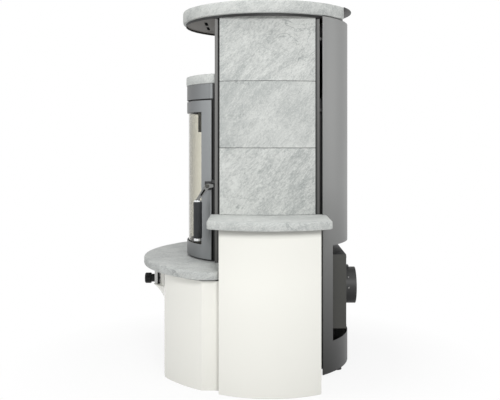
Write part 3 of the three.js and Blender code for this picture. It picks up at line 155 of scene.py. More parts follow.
class Shading:
    """A node tree that nodes are added to."""

    def __init__(self, tree):
        self.tree = tree

    def feed(self, socket, value):
        """Links a signal to a socket, or sets the socket's value."""
        if isinstance(value, Signal):
            self.tree.links.new(value.socket, socket)
        else:
            socket.default_value = value

    def node(self, kind, settings, inputs, output=0):
        """Adds a node and gives back one of its outputs.

        The setting stops holds the (position, colour) pairs of a colour ramp.
        """
        node = self.tree.nodes.new(kind)
        for name, value in settings.items():
            if name == "stops":
                elements = node.color_ramp.elements
                while len(elements) < len(value):
                    elements.new(1.0)
                for element, (position, colour) in zip(elements, value):
                    element.position = position
                    element.color = (*colour, 1.0)
            else:
                setattr(node, name, value)
        for key, value in inputs.items():
            self.feed(node.inputs[key], value)
        return Signal(self, node.outputs[output])

    def rays(self, *names):
        """1 for the rays of any of the kinds named, otherwise 0."""
        seen = [self.node("ShaderNodeLightPath", {}, {}, name) for name in names]
        return sum(seen[1:], seen[0]).clipped()


class Finish(Shading):
    """One procedural material that ends in a Principled shader."""

    def __init__(self, name, **sockets):
        self.material = bpy.data.materials.new(name)
        self.material.use_nodes = True
        super().__init__(self.material.node_tree)
        self.shader = self.tree.nodes["Principled BSDF"]
        self.set(**sockets)

    def set(self, **sockets):
        """Feeds sockets of the Principled shader by their names, such as base_color."""
        for name, value in sockets.items():
            self.feed(self.shader.inputs[name.replace("_", " ").title().replace("Ior", "IOR")], value)

    def place(self):
        return self.node("ShaderNodeTexCoord", {}, {}, "Object")

    def along(self, vector, axis):
        return self.node("ShaderNodeSeparateXYZ", {}, {0: vector}, axis)

    def mapped(self, vector, shift=(0, 0, 0), turn=(0, 0, 0), stretch=(1, 1, 1)):
        turned = self.node("ShaderNodeMapping", {}, {"Vector": vector, "Location": shift, "Rotation": turn})
        return self.node("ShaderNodeMapping", {}, {"Vector": turned, "Scale": stretch})

    def noise(self, vector, scale, detail=4.0, roughness=0.55, distortion=0.0):
        return self.node("ShaderNodeTexNoise", {}, {
            "Vector": vector, "Scale": scale, "Detail": detail,
            "Roughness": roughness, "Distortion": distortion})

    def mix(self, factor, first, second):
        return self.node("ShaderNodeMix", {"data_type": "RGBA"}, {0: factor, 6: first, 7: second}, 2)

    def ramp(self, value, stops):
        return self.node("ShaderNodeValToRGB", {"stops": stops}, {"Fac": value})

    def bump(self, height, strength, distance):
        normal = self.node("ShaderNodeBump", {}, {
            "Height": height, "Strength": strength, "Distance": distance})
        self.set(normal=normal)


def rgba(colour):
    return (*colour, 1.0)


def scaled(colour, factor):
    return tuple(min(1.0, channel * factor) for channel in colour)


# ---- finishes -----------------------------------------------------------------------------------
def soapstone(name, light, dark, shift, tilt, contrast, centre=(0, 0, 0), lean=(0, 0, 0)):
    """Honed soapstone: clouds, slanting streaks, pale wisps and a fine grain.

    The tone drifts along lean, in shares per metre from the centre.
    """
    finish = Finish(name, roughness=0.62)
    offset = finish.node("ShaderNodeVectorMath", {"operation": "SUBTRACT"}, {0: finish.place(), 1: centre})
    drift = finish.node("ShaderNodeVectorMath", {"operation": "DOT_PRODUCT"}, {0: offset, 1: lean}, "Value")
    place = finish.mapped(finish.place(), shift=shift, turn=(-tilt, 0, 0))
    along = finish.mapped(place, stretch=(1.0, 0.38, 1.2))
    clouds = finish.noise(place, 4.5, 5.0, 0.6, 0.8)
    streaks = finish.noise(along, 16.0, 8.0, 0.7, 0.9)
    hatch = finish.noise(along, 190.0, 3.0, 0.7, 0.6)
    grain = finish.noise(place, 330.0, 2.0, 0.6)
    wisps = (1.0 - abs(finish.noise(along, 6.5, 6.0, 0.6, 2.0) - 0.5) * 11.0).clipped()
    cracked = (1.0 - abs(finish.noise(place, 3.6, 6.0, 0.62, 1.2) - 0.5) * 110.0).clipped()
    cracks = cracked * ((finish.noise(place, 2.6, 1.0) - 0.55) * 12.0).clipped()
    flecks = ((0.35 - finish.noise(place, 170.0, 2.0, 0.5)) * 9.0).clipped()
    tone = (0.5 + (clouds - 0.5) * (0.8 * contrast) + (streaks - 0.5) * (0.68 * contrast)
            + (hatch - 0.5) * (1.35 * contrast) + (grain - 0.5) * 0.75 + wisps * (0.14 * contrast)
            - flecks * 0.15 - cracks * 0.45 + drift)
    stops = [(0.05, scaled(dark, 0.74)), (0.36, dark), (0.62, light), (0.95, scaled(light, 1.2))]
    finish.set(base_color=finish.ramp(tone, stops), roughness=(0.72 - streaks * 0.2).clipped())
    finish.bump(streaks * 0.4 + hatch * 0.6 + grain * 0.3 - flecks * 0.6 - cracks, 0.3, 0.0012)
    return finish.material


def beyond(axis, level, sign):
    """A mask that is 1 on one side of a level."""
    return lambda finish, place: ((finish.along(place, axis) - level) * (sign * MASK_SHARPNESS)).clipped()


def ring(centre, radius, sign):
    """A mask that is 1 outside a radius from an upright axis, or inside it where the sign is -1."""
    def mask(finish, place):
        flat = finish.node("ShaderNodeVectorMath", {"operation": "MULTIPLY"}, {0: place, 1: (1, 1, 0)})
        away = finish.node("ShaderNodeVectorMath", {"operation": "DISTANCE"}, {
            0: flat, 1: (centre.x, centre.y, 0)}, "Value")
        return ((away - radius) * (sign * MASK_SHARPNESS)).clipped()
    return mask


def either(*masks):
    """A mask that is 1 where any of several masks is."""
    return lambda finish, place: sum(mask(finish, place) for mask in masks).clipped()


def with_painted_shade(finish, place, colour, paint, fade):
    """Painted shade: paint that darkens evenly from the second level of the shade to a share of its colour at the
    first.
    """
    axis, first, second, share = fade
    risen = ((finish.along(place, axis) - first) * (1.0 / (second - first))).clipped()
    return finish.mix(risen, rgba(scaled(colour, share)), paint)


def glaze(name, colour, roughness, waviness, painted_shades=(), black_mask=None):
    """Glossy cream glaze with a faint pooling of tone and the slow waves of a fired surface.

    Each painted shade darkens it along an axis, and it is painted black as a shadow where the black mask is 1.
    """
    finish = Finish(name, roughness=roughness, ior=1.5)
    place = finish.place()
    pooled = finish.noise(place, 6.0, 3.0)
    specks = ((0.27 - finish.noise(place, 260.0, 1.0)) * 8.0).clipped()
    shade = finish.mix(pooled * 0.5, rgba(colour), rgba(scaled(colour, 0.965)))
    shade = finish.mix(specks * 0.12, shade, rgba(scaled(colour, 0.7)))
    for fade in painted_shades:
        shade = with_painted_shade(finish, place, colour, shade, fade)
    if black_mask:
        shade = finish.mix(black_mask(finish, place), shade, rgba(DARK))
    finish.set(base_color=shade)
    finish.bump(finish.noise(place, 9.0, 2.0), waviness, 0.002)
    return finish.material


def painted_steel(name, colour, metallic, roughness, painted_shades=(), black_mask=None, gloss=0.5):
    """Heat-proof stove paint: a fine metallic grain, slight clouding and soft orange peel.

    Painted shades and the black mask are those of the glaze, and gloss is the strength of the paint's reflection.
    """
    finish = Finish(name, metallic=metallic, specular_ior_level=gloss)
    place = finish.place()
    flakes = finish.noise(place, 700.0, 2.0, 0.7)
    clouds = finish.noise(place, 3.5, 4.0)
    mottle = flakes * 0.55 + clouds * 0.25
    paint = finish.mix(mottle, rgba(scaled(colour, 0.88)), rgba(scaled(colour, 1.14)))
    for fade in painted_shades:
        paint = with_painted_shade(finish, place, colour, paint, fade)
    if black_mask:
        paint = finish.mix(black_mask(finish, place), paint, rgba(DARK))
    finish.set(base_color=paint, roughness=(roughness - 0.06 + clouds * 0.12).clipped())
    finish.bump(flakes + clouds * 0.3, 0.06, 0.0003)
    return finish.material


def felt_and_shade(name):
    """Sooty black felt that gives no gloss, for the tiles' joints and as painted shade in slots and hollows."""
    finish = Finish(name, roughness=1.0, specular_ior_level=0.0)
    fibres = finish.noise(finish.place(), 900.0, 3.0)
    finish.set(base_color=finish.mix(fibres, rgba(scaled(DARK, 0.5)), rgba(scaled(DARK, 1.3))))
    finish.bump(fibres, 0.3, 0.0004)
    return finish.material


def cast_iron(name, colour):
    """Sand-cast iron with pale ash in places."""
    finish = Finish(name, metallic=0.35)
    place = finish.place()
    sand = finish.noise(place, 260.0, 5.0, 0.7)
    ash = (finish.noise(place, 14.0, 5.0) * 1.6 - 0.55).clipped()
    finish.set(base_color=finish.mix(ash, rgba(colour), rgba(scaled(colour, 3.0))),
               roughness=(0.62 + sand * 0.25).clipped())
    finish.bump(sand, 0.35, 0.0008)
    return finish.material


def firebrick(name, colour):
    """Pressed vermiculite: coarse golden flakes and a little soot."""
    finish = Finish(name, roughness=0.92)
    place = finish.place()
    flakes = finish.node("ShaderNodeTexVoronoi", {}, {"Vector": place, "Scale": 230.0})
    soot = (finish.noise(place, 5.5, 5.0, 0.6) * 2.2 - 0.95).clipped()
    pressed = finish.mix((flakes * 1.5).clipped(), rgba(scaled(colour, 1.12)), rgba(scaled(colour, 0.72)))
    finish.set(base_color=finish.mix(soot * 0.5, pressed, rgba(scaled(colour, 0.35))))
    finish.bump(flakes, 0.3, 0.0012)
    return finish.material


def braided(name, colour):
    """Braided glass-fibre rope or tape: two crossing sets of strands."""
    finish = Finish(name, roughness=0.95)
    place = finish.place()
    sets = [finish.node("ShaderNodeTexWave", {"bands_direction": "DIAGONAL"}, {
        "Vector": finish.mapped(place, turn=(turn, turn, 0)), "Scale": 160.0,
        "Distortion": 1.5, "Detail": 2.0}) for turn in (0.6, -0.6)]
    weave = sets[0] * sets[1]
    finish.set(base_color=finish.mix(weave, rgba(scaled(colour, 0.6)), rgba(scaled(colour, 1.8))))
    finish.bump(weave, 0.5, 0.001)
    return finish.material


def chrome(name):
    """Bright plated steel with fine scuffs."""
    finish = Finish(name, metallic=1.0, base_color=rgba(CHROME_TONE))
    scuffs = finish.noise(finish.mapped(finish.place(), stretch=(1, 1, 6)), 180.0, 4.0)
    finish.set(roughness=(0.09 + scuffs * 0.16).clipped())
    finish.bump(scuffs, 0.03, 0.0002)
    return finish.material


def grip_plastic(name, colour):
    """Matt moulded heat-proof plastic with a fine spark-eroded texture."""
    finish = Finish(name, specular_ior_level=0.25)
    place = finish.place()
    texture = finish.noise(place, 1100.0, 3.0, 0.65)
    rubbed = finish.noise(place, 25.0, 4.0)
    finish.set(base_color=finish.mix(rubbed, rgba(scaled(colour, 0.85)), rgba(scaled(colour, 1.3))),
               roughness=(0.42 + rubbed * 0.16).clipped())
    finish.bump(texture, 0.18, 0.0003)
    return finish.material


def stove_glass(name, colour, roughness):
    """Tinted glass ceramic: clear, and deeper in colour where it is seen on edge."""
    finish = Finish(name, ior=1.12, transmission_weight=1.0)
    place = finish.place()
    facing = finish.node("ShaderNodeLayerWeight", {}, {"Blend": 0.5}, "Facing")
    haze = finish.noise(finish.mapped(place, stretch=(1, 1, 0.4)), 12.0, 4.0)
    depth = facing ** 2
    finish.set(base_color=finish.mix(depth, rgba(colour), rgba(scaled(colour, 0.2))),
               roughness=roughness + haze * 0.01)
    return finish.material


# ---- pieces -------------------------------------------------------------------------------------
def welded(node):
    """A copy of a node's mesh with shared vertices and whole flat faces, so that it can shade smoothly."""
    mesh = bmesh.new()
    mesh.from_mesh(NODES[node].data)
    bmesh.ops.remove_doubles(mesh, verts=mesh.verts, dist=WELD)
    bmesh.ops.dissolve_limit(mesh, angle_limit=FLAT_ANGLE, verts=mesh.verts, edges=mesh.edges)
    return mesh


def show(name, mesh, body, material, edge=0.0, segments=2):
    """Links a bmesh as a piece that rides on a body, shades it and rounds its edges to a radius."""
    data = bpy.data.meshes.new(name)
    mesh.to_mesh(data)
    mesh.free()
    data.shade_smooth()
    data.set_sharp_from_angle(angle=SMOOTH_ANGLE)
    data.materials.append(material)
    piece = bpy.data.objects.new(name, data)
    bpy.context.scene.collection.objects.link(piece)
    if edge > 0:
        bevel = piece.modifiers.new("edges", "BEVEL")
        bevel.width = edge
        bevel.segments = segments
        bevel.limit_method = "ANGLE"
        bevel.angle_limit = SMOOTH_ANGLE
        bevel.harden_normals = True
        bevel.use_clamp_overlap = True
    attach(piece, body)
    return piece


def dress(node, material, edge=0.0, segments=2):
    """Shows a smooth copy in place of a node."""
    piece = show(f"{node}_shown", welded(node), BODY_OF[node], material, edge, segments)
    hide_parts(node)
    return piece


def coat(node, material):
    """Gives a node that stays as it is its finish."""
    slots = NODES[node].data.materials
    slots.clear()
    slots.append(material)


def both(stem):
    """The right and the left node of a pair."""
    return [f"{stem}_right", f"{stem}_left"]


def bar(name, size, place, body, material, edge=0.0, turn=None):
    """A rectangular bar round a place, turned by a rotation matrix if one is given."""
    mesh = bmesh.new()
    bmesh.ops.create_cube(mesh, size=1.0)
    bmesh.ops.scale(mesh, verts=mesh.verts, vec=size)
    if turn is not None:
        bmesh.ops.rotate(mesh, verts=mesh.verts, matrix=turn)
    bmesh.ops.translate(mesh, verts=mesh.verts, vec=place)
    return show(name, mesh, body, material, edge)


def lathe(profile, axis_frame, sides, flutes=None):
    """A closed turned solid from (radius, height) points; flutes(radius_index, angle) scales the radius."""
    mesh = bmesh.new()
    rings = []
    for index, (radius, height) in enumerate(profile):
        if radius == 0:
            rings.append([mesh.verts.new(axis_frame @ Vector((0, 0, height)))] * sides)
            continue
        circle = []
        for side in range(sides):
            angle = 2 * math.pi * side / sides
            reach = radius * (flutes(index, angle) if flutes else 1.0)
            place = Vector((reach * math.cos(angle), reach * math.sin(angle), height))
            circle.append(mesh.verts.new(axis_frame @ place))
        rings.append(circle)
    for low, high in zip(rings, rings[1:]):
        for side in range(sides):
            after = (side + 1) % sides
            corners = [low[side], low[after], high[after], high[side]]
            unique = [v for i, v in enumerate(corners) if v not in corners[:i]]
            if len(unique) > 2:
                mesh.faces.new(unique)
    bmesh.ops.recalc_face_normals(mesh, faces=mesh.faces)
    return mesh


def facing(point, axis):
    """The frame of a turned piece that stands at a point and rises along an axis."""
    return Matrix.Translation(point) @ Vector(axis).to_track_quat("Z", "Y").to_matrix().to_4x4()


SCREW_PROFILE = [(0, 0), (1.0, 0), (1.0, 0.28), (0.86, 0.5), (0.5, 0.62), (0.5, 0.3), (0, 0.3)]


def screw_head(point, axis, radius):
    """A pan head with a six-sided socket."""
    profile = [(r * radius, h * radius) for r, h in SCREW_PROFILE]
    return lathe(profile, facing(point, axis), 24,
                 lambda index, angle: (0.94 + 0.06 * math.cos(6 * angle)) if index >= 4 else 1.0)


def screw_group(name, places, radius, body, material):
    """One piece that holds a set of like screws; places are (point, axis) pairs."""
    group = bmesh.new()
    for point, axis in places:
        head = screw_head(point, axis, radius)
        data = bpy.data.meshes.new("screw")
        head.to_mesh(data)
        head.free()
        group.from_mesh(data)
        bpy.data.meshes.remove(data)
    return show(name, group, body, material)


# ---- settings -----------------------------------------------------------------------------------
def colour_property(name, description, default):
    """A colour that can be set in the panel."""
    return bpy.props.FloatVectorProperty(
        name=name, description=description, subtype="COLOR", size=3, min=0.0, max=1.0, default=default)


class StoneSettings(bpy.types.PropertyGroup):
    light: colour_property("Light tone", "Pale tone of the soapstone", (0.56, 0.575, 0.555))
    dark: colour_property("Dark tone", "Dark tone of the soapstone", (0.40, 0.42, 0.41))
    # the front shelf's tones are the stone's tones, darkened as painted shade under the door and the tray
    shelf_light: colour_property("Shelf light tone", "Pale tone of the front shelf", (0.50, 0.515, 0.50))
    shelf_dark: colour_property("Shelf dark tone", "Dark tone of the front shelf", (0.36, 0.375, 0.37))
    tilt: bpy.props.FloatProperty(
        name="Vein slope", description="Mean slope of the streaks on the tiles",
        subtype="ANGLE", default=math.radians(48))
    contrast: bpy.props.FloatProperty(
        name="Contrast", description="Strength of the veining", min=0.0, max=2.0, default=1.0)


class CeramicSettings(bpy.types.PropertyGroup):
    colour: colour_property("Glaze", "Colour of the glazed bases", (0.885, 0.88, 0.825))
    roughness: bpy.props.FloatProperty(
        name="Roughness", description="Roughness of the glaze", min=0.0, max=1.0, default=0.16)
    # painted shade: the glaze darkens towards the floor to this share of its colour
    foot: bpy.props.FloatProperty(
        name="Foot tone", description="Share of the glaze's colour that is left at the floor",
        min=0.0, max=1.0, default=0.87)
    waviness: bpy.props.FloatProperty(
        name="Waviness", description="Strength of the glaze's slow waves", min=0.0, max=1.0, default=0.08)
    edge: bpy.props.FloatProperty(
        name="Edge", description="Rounding of the ceramic's edges",
        unit="LENGTH", subtype="DISTANCE", default=2.2 * MILLIMETRE)


class SteelSettings(bpy.types.PropertyGroup):
    grey: colour_property("Grey paint", "Metallic grey of the back panel", (0.226, 0.229, 0.225))
    door: colour_property("Door paint", "Bluish grey of the door and header", (0.262, 0.274, 0.28))
    post: colour_property("Post paint", "Darker grey of the posts", (0.135, 0.134, 0.130))
    dark: colour_property("Dark paint", "Dark grey of inner sheet metal", (0.052, 0.052, 0.047))
    black: colour_property("Black paint", "Black of covers and brackets", (0.022, 0.022, 0.022))
    # painted shade on the back panel towards the floor
    fade: bpy.props.FloatProperty(
        name="Fade height", description="Height below which the back panel darkens towards the floor",
        unit="LENGTH", subtype="DISTANCE", default=0.74)
    edge: bpy.props.FloatProperty(
        name="Edge", description="Rounding of sheet metal edges",
        unit="LENGTH", subtype="DISTANCE", default=0.8 * MILLIMETRE)


class DoorSettings(bpy.types.PropertyGroup):
    glass: colour_property("Glass", "Warm tint of the door's glass", (0.92, 0.905, 0.83))
    glass_roughness: bpy.props.FloatProperty(
        name="Glass roughness", description="Haze of the pane",
        min=0.0, max=1.0, default=0.02)
    grip: colour_property("Grip", "Dark plastic of the grip and knob", (0.026, 0.028, 0.03))


class FireSettings(bpy.types.PropertyGroup):
    brick: colour_property("Firebrick", "Pressed lining of the firebox", (0.62, 0.53, 0.38))
    iron: colour_property("Iron", "Cast iron of the grate", (0.03, 0.03, 0.032))


class StageSettings(bpy.types.PropertyGroup):
    camera_height: bpy.props.FloatProperty(
        name="Camera height", description="Height of the camera over the floor",
        unit="LENGTH", subtype="DISTANCE", default=0.92)
    camera_distance: bpy.props.FloatProperty(
        name="Camera distance", description="Distance from the stove's middle to the camera",
        unit="LENGTH", subtype="DISTANCE", default=3.357)
    camera_depth: bpy.props.FloatProperty(
        name="Camera depth", description="Place of the camera between front and rear",
        unit="LENGTH", subtype="DISTANCE", default=0.0174)
    lens: bpy.props.FloatProperty(
        name="Lens", description="Focal length in millimetres on a 36 mm sensor", default=56.88)
    shift: bpy.props.FloatVectorProperty(
        name="Shift", description="Shift of the lens, right and up", size=2, default=(-0.008, -0.12))
    key: bpy.props.FloatProperty(
        name="Key light", description="Power of the soft light above and beside the camera",
        unit="POWER", default=47.0)
    front: bpy.props.FloatProperty(
        name="Front light", description="Power of the soft light before the door",
        unit="POWER", default=28.0)
    over: bpy.props.FloatProperty(
        name="Top light", description="Power of the soft light overhead",
        unit="POWER", default=40.0)
    rear: bpy.props.FloatProperty(
        name="Rear light", description="Power of the soft light on the back panel",
        unit="POWER", default=14.0)
    room: bpy.props.FloatProperty(
        name="Room light", description="Strength of the even light from all around",
        min=0.0, max=2.0, default=0.40)


SETTINGS = {
    "stove_stone": StoneSettings,
    "stove_ceramic": CeramicSettings,
    "stove_steel": SteelSettings,
    "stove_door": DoorSettings,
    "stove_fire": FireSettings,
    "stove_stage": StageSettings,
}


# ---- stone --------------------------------------------------------------------------------------
class STOVE_OT_stone(bpy.types.Operator):
    """Dress the tiles, top plate, benches, niche slab and front shelf, and seal the tiles' joints"""

    bl_idname = "stove.stone"
    bl_label = "Stone"

    def execute(self, context):
        settings = context.scene.stove_stone
        light, dark = tuple(settings.light), tuple(settings.dark)

        def stone(name, shift, contrast=1.0, tilt=settings.tilt, tones=(light, dark), **drift):
            return soapstone(f"stone_{name}", *tones, shift, tilt, contrast * settings.contrast, **drift)

        tiles = {
            "tile_upper": ((0.3, 0.7, 0.2), 0.85, -6, (0, 0.3, 0.5)),
            "tile_middle": ((1.7, 2.1, 0.9), 0.62, 2, (0, 0.35, -0.1)),
            "tile_lower": ((3.1, 0.4, 2.6), 1.05, -2, (0, -0.3, -0.35)),
        }
        for stem, (shift, contrast, degrees, lean) in tiles.items():
            tilt = settings.tilt + math.radians(degrees)
            for index, node in enumerate(both(stem)):
                place = (shift[0] + 5 * index, shift[1], shift[2])
                low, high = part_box(node)
                tile = stone(node, place, contrast, tilt, centre=(low + high) / 2, lean=lean)
                dress(node, tile, 1.4 * MILLIMETRE)
        self.add_joints()
        dress("top_plate_stone", stone("top", (0.9, 4.2, 3.3), 0.75, math.radians(25)))
        # painted light: the niche slab takes paler copies of the stone's tones, as if lit from above
        lit_slab_tones = (scaled(light, 1.1), scaled(dark, 1.12))
        dress("niche_slab", stone("slab", (2.2, 0.1, 5.0), 0.6, tones=lit_slab_tones), MILLIMETRE)
        for index, node in enumerate(both("side_shelf")):
            dress(node, stone(node, (4.0 + index, 1.5, 1.1), 0.6, math.radians(20)), MILLIMETRE)
        # painted shade: the front shelf takes darker copies of the stone's tones
        shaded_shelf_tones = (tuple(settings.shelf_light), tuple(settings.shelf_dark))
        shelf = stone("front_shelf", (0.2, 3.7, 0.6), 0.8, math.radians(15), shaded_shelf_tones)
        dress("front_shelf", shelf, MILLIMETRE)
        return {"FINISHED"}

    def add_joints(self):
        """Dark sealing strips at the bottom of the grooves between the rows of tiles."""
        material = felt_and_shade("joint_felt")
        near, far = JOINT_DEPTHS
        for side, sign in (("right", 1), ("left", -1)):
            for upper in ("middle", "upper"):
                low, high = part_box(f"tile_{upper}_{side}")
                level = low.z - JOINT_DROP
                half, middle = (high.y - low.y) / 2, (high.y + low.y) / 2
                apex = high.x if sign > 0 else -low.x
                turn = math.asin(half / TILE_RADIUS) * JOINT_SPAN
                strip = bmesh.new()
                rings = []
                for step in range(JOINT_STEPS + 1):
                    angle = turn * (2 * step / JOINT_STEPS - 1)
                    corners = []
                    for depth, rise in ((near, -1), (near, 1), (far, 1), (far, -1)):
                        radius = TILE_RADIUS - depth * MILLIMETRE
                        x = apex - TILE_RADIUS + radius * math.cos(angle)
                        y = middle + radius * math.sin(angle)
                        z = level + rise * JOINT_HALF_HEIGHT * MILLIMETRE
                        corners.append(strip.verts.new((sign * x, y, z)))
                    rings.append(corners)
                for first, second in zip(rings, rings[1:]):
                    for k in range(4):
                        strip.faces.new((first[k], first[(k + 1) % 4], second[(k + 1) % 4], second[k]))
                strip.faces.new(rings[0])
                strip.faces.new(rings[-1])
                bmesh.ops.recalc_face_normals(strip, faces=strip.faces)
                show(f"joint_{upper}_{side}", strip, "root", material)


# ---- ceramic ------------------------------------------------------------------------------------
class STOVE_OT_ceramic(bpy.types.Operator):
    """Dress the glazed bases at the sides and in front"""

    bl_idname = "stove.ceramic"
    bl_label = "Ceramic bases"

    def execute(self, context):
        settings = context.scene.stove_ceramic
        look = tuple(settings.colour), settings.roughness, settings.waviness
        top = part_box("side_ceramic_right")[1].z
        # painted shade on the glaze towards the floor
        floor_shade = ("Z", 0.0, GLAZE_SHADE_HEIGHT, settings.foot)
        # painted shadow of the side shelves at the top of the side bases
        shelf_shadow = ("Z", top, top - SHELF_SHADOW_DEPTH, SHELF_SHADOW_SHARE)
        side = glaze("glazed_side", *look, painted_shades=[shelf_shadow, floor_shade])
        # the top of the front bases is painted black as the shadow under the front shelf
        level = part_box("front_ceramic_centre")[1].z - PAINTED_SHADE_WIDTH
        front = glaze("glazed_front", *look, painted_shades=[floor_shade], black_mask=beyond("Z", level, 1))
        for node in both("side_ceramic"):
            dress(node, side, settings.edge, 3)
        for node in both("front_ceramic") + ["front_ceramic_centre"]:
            dress(node, front, settings.edge, 3)
        return {"FINISHED"}


# ---- steelwork ----------------------------------------------------------------------------------
class STOVE_OT_steelwork(bpy.types.Operator):
    """Dress the frame, back panel, header, covers, air box and air stub, and add their small parts"""

    bl_idname = "stove.steelwork"
    bl_label = "Steelwork"

    def execute(self, context):
        settings = context.scene.stove_steel
        edge = settings.edge
        # the back panel's grey darkens towards the floor as painted shade
        grey = painted_steel("grey_paint", tuple(settings.grey), 0.3, 0.42,
                             painted_shades=[("Z", 0.0, settings.fade, PANEL_SHADE_SHARE)])
        # painted shade on the header's front, and painted black behind its end as shade between the posts
        header = painted_steel("header_paint", scaled(tuple(settings.door), 0.8), 0.3, 0.4,
                               painted_shades=[DOOR_PAINTED_SHADE], black_mask=beyond("Y", HEADER_END_Y, 1))
        dark = painted_steel("dark_paint", tuple(settings.dark), 0.2, 0.5)
        black = painted_steel("black_paint", tuple(settings.black), 0.1, 0.46)
        low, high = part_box("top_tray")
        radius = (high.x - low.x) / 2
        # the tray's rim is painted black as the shade on its flange
        rim_shade = ring(Vector((0, low.y + radius, 0)), radius - TRAY_RIM_SHADE, 1)
        tray = painted_steel("tray_paint", TRAY_TONE, 0.15, 0.55, black_mask=rim_shade)
        # the posts are painted black as shade in the gaps at their edges and on the rear posts' tabs
        front = beyond("Y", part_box("front_post_right")[1].y - PAINTED_SHADE_WIDTH, 1)
        low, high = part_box("rear_post_right")
        rear = either(beyond("Y", low.y + PAINTED_SHADE_WIDTH, -1), beyond("Y", high.y - TAB_SHADE_REACH, 1))
        for stem, tone, black_mask in (("front_post", 1.0, front), ("rear_post", 0.6, rear)):
            colour = scaled(tuple(settings.post), tone)
            paint = painted_steel(f"{stem}_paint", colour, 0.25, 0.46, black_mask=black_mask)
            for node in both(stem):
                dress(node, paint, edge)
        dress("back_panel", grey, edge)
        dress("header_band", header, edge)
        dress("top_tray", tray, edge)
        # the air box's top is painted black as shade under the back panel
        box_top_shade = beyond("Z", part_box("rear_air_box")[1].z - MILLIMETRE, 1)
        box_paint = painted_steel("air_box_paint", tuple(settings.dark), 0.2, 0.5, black_mask=box_top_shade)
        dress("rear_air_box", box_paint, 1.5 * edge, 3)
        dress("niche_liner", dark, edge)
        dress("air_stub", self.stub_paint(settings), edge)
        covers = ["rear_cover", "drum_plinth", "flue_collar", "firebox_shell", "pedestal", "base_plate"]
        for node in covers + [f"levelling_foot_{number}" for number in (1, 2, 3, 4)]:
            dress(node, black, edge)
        self.add_screws(black)
        self.add_slot_shade(felt_and_shade("slot_shade"))
        self.add_stub_fittings(black, painted_steel("rivet_steel", RIVET_TONE, 0.8, 0.35))
        return {"FINISHED"}

    def stub_paint(self, settings):
        """Dull black paint with a painted highlight band, and painted shade towards the stub's crown and its lower
        side.
        """
        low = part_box("air_stub")[0].z
        # painted highlight at the height bright, fading to painted shade at the crown and the bottom
        bright, top = low + 1.35 * STUB_RING_RADIUS, low + 2 * STUB_RING_RADIUS
        return painted_steel("stub_paint", scaled(tuple(settings.black), 3.6), 0.1, 0.46, gloss=0.2,
                             painted_shades=[("Z", low, bright, 0.1), ("Z", top, bright, 0.25)])

    def add_screws(self, material):
        """Screws at the corners of the air box's rear face."""
        low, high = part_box("rear_air_box")
        inset = 12 * MILLIMETRE
        corners = [((x, high.y, z), (0, 1, 0)) for x in (low.x + inset, high.x - inset)
                   for z in (low.z + inset, high.z - inset)]
        screw_group("air_box_screws", corners, 3.2 * MILLIMETRE, "root", material)

    def add_slot_shade(self, material):
        """Dark strips in the tray's two slots, as painted shade that hides the pale stone above."""
        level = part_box("top_tray")[1].z - TRAY_STRIP_DROP
        for side, sign in (("right", 1), ("left", -1)):
            place = Vector((sign * TRAY_SLOT_X, TRAY_SLOT_Y, level))
            bar(f"tray_slot_shade_{side}", TRAY_STRIP, place, "root", material)

    def add_stub_fittings(self, paint, bright):
        """The stub's stop lug and the rivets round its sleeve."""
        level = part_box("air_stub")[0].z + STUB_RING_RADIUS
        centre = Vector((0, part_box("rear_air_box")[1].y + STUB_SLEEVE, level))
        size = Vector((34, 12, 13)) * MILLIMETRE
        crown = centre + Vector((0, 0, STUB_RADIUS + 2 * MILLIMETRE))
        bar("stub_lug", size, crown, "root", paint, 1.5 * MILLIMETRE)
        rivets = []
        for turn in (-90, -56, 56, 90):
            outward = Vector((math.sin(math.radians(turn)), 0, math.cos(math.radians(turn))))
            rivets.append((centre + outward * STUB_RADIUS, outward))
        screw_group("stub_rivets", rivets, 3 * MILLIMETRE, "root", bright)


# ---- door ---------------------------------------------------------------------------------------
class STOVE_OT_door(bpy.types.Operator):
    """Dress the door's frame, glass, seals, retainer and hinges"""

    bl_idname = "stove.door"
    bl_label = "Door"

    def execute(self, context):
        steel = context.scene.stove_steel
        settings = context.scene.stove_door
        axis = Vector((0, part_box("door_frame")[0].y + DOOR_RADIUS, 0))
        # painted shade on the door's front; the frame is black inside its outer face
        paint = painted_steel("door_paint", tuple(steel.door), 0.3, 0.4, painted_shades=[DOOR_PAINTED_SHADE],
                              black_mask=ring(axis, DOOR_RADIUS - 2 * MILLIMETRE, -1))
        dark = painted_steel("retainer_paint", scaled(tuple(steel.dark), 0.55), 0.2, 0.55)
        black = painted_steel("hinge_paint", tuple(steel.black), 0.2, 0.45)
        dress("door_frame", paint, steel.edge)
        glass = stove_glass("door_glass_tint", tuple(settings.glass), settings.glass_roughness)
        dress("door_glass", glass)
        seal = braided("seal_braid", BRAID_TONE)
        dress("glass_seal", seal)
        dress("door_seal", seal, 2.5 * MILLIMETRE, 3)
        dress("glass_retainer", dark, 0.6 * MILLIMETRE)
        for node in ("hinge_bracket_lower", "hinge_bracket_upper", "latch_keeper"):
            dress(node, black, 0.6 * MILLIMETRE)
        self.add_retainer_screws(axis, black)
        return {"FINISHED"}

    def add_retainer_screws(self, axis, material):
        """Screws through the retainer's top and bottom edges, seen with the door open."""
        low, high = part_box("glass_retainer")
        inset = 6 * MILLIMETRE
        places = []
        for turn in (-32, -11, 11, 32):
            angle = math.radians(turn)
            outward = Vector((math.sin(angle), -math.cos(angle), 0))
            for level in (low.z + inset, high.z - inset):
                point = Vector((axis.x, axis.y, level)) + outward * RETAINER_RADIUS
                places.append((point, -outward))
        screw_group("retainer_screws", places, 2.4 * MILLIMETRE, "door", material)


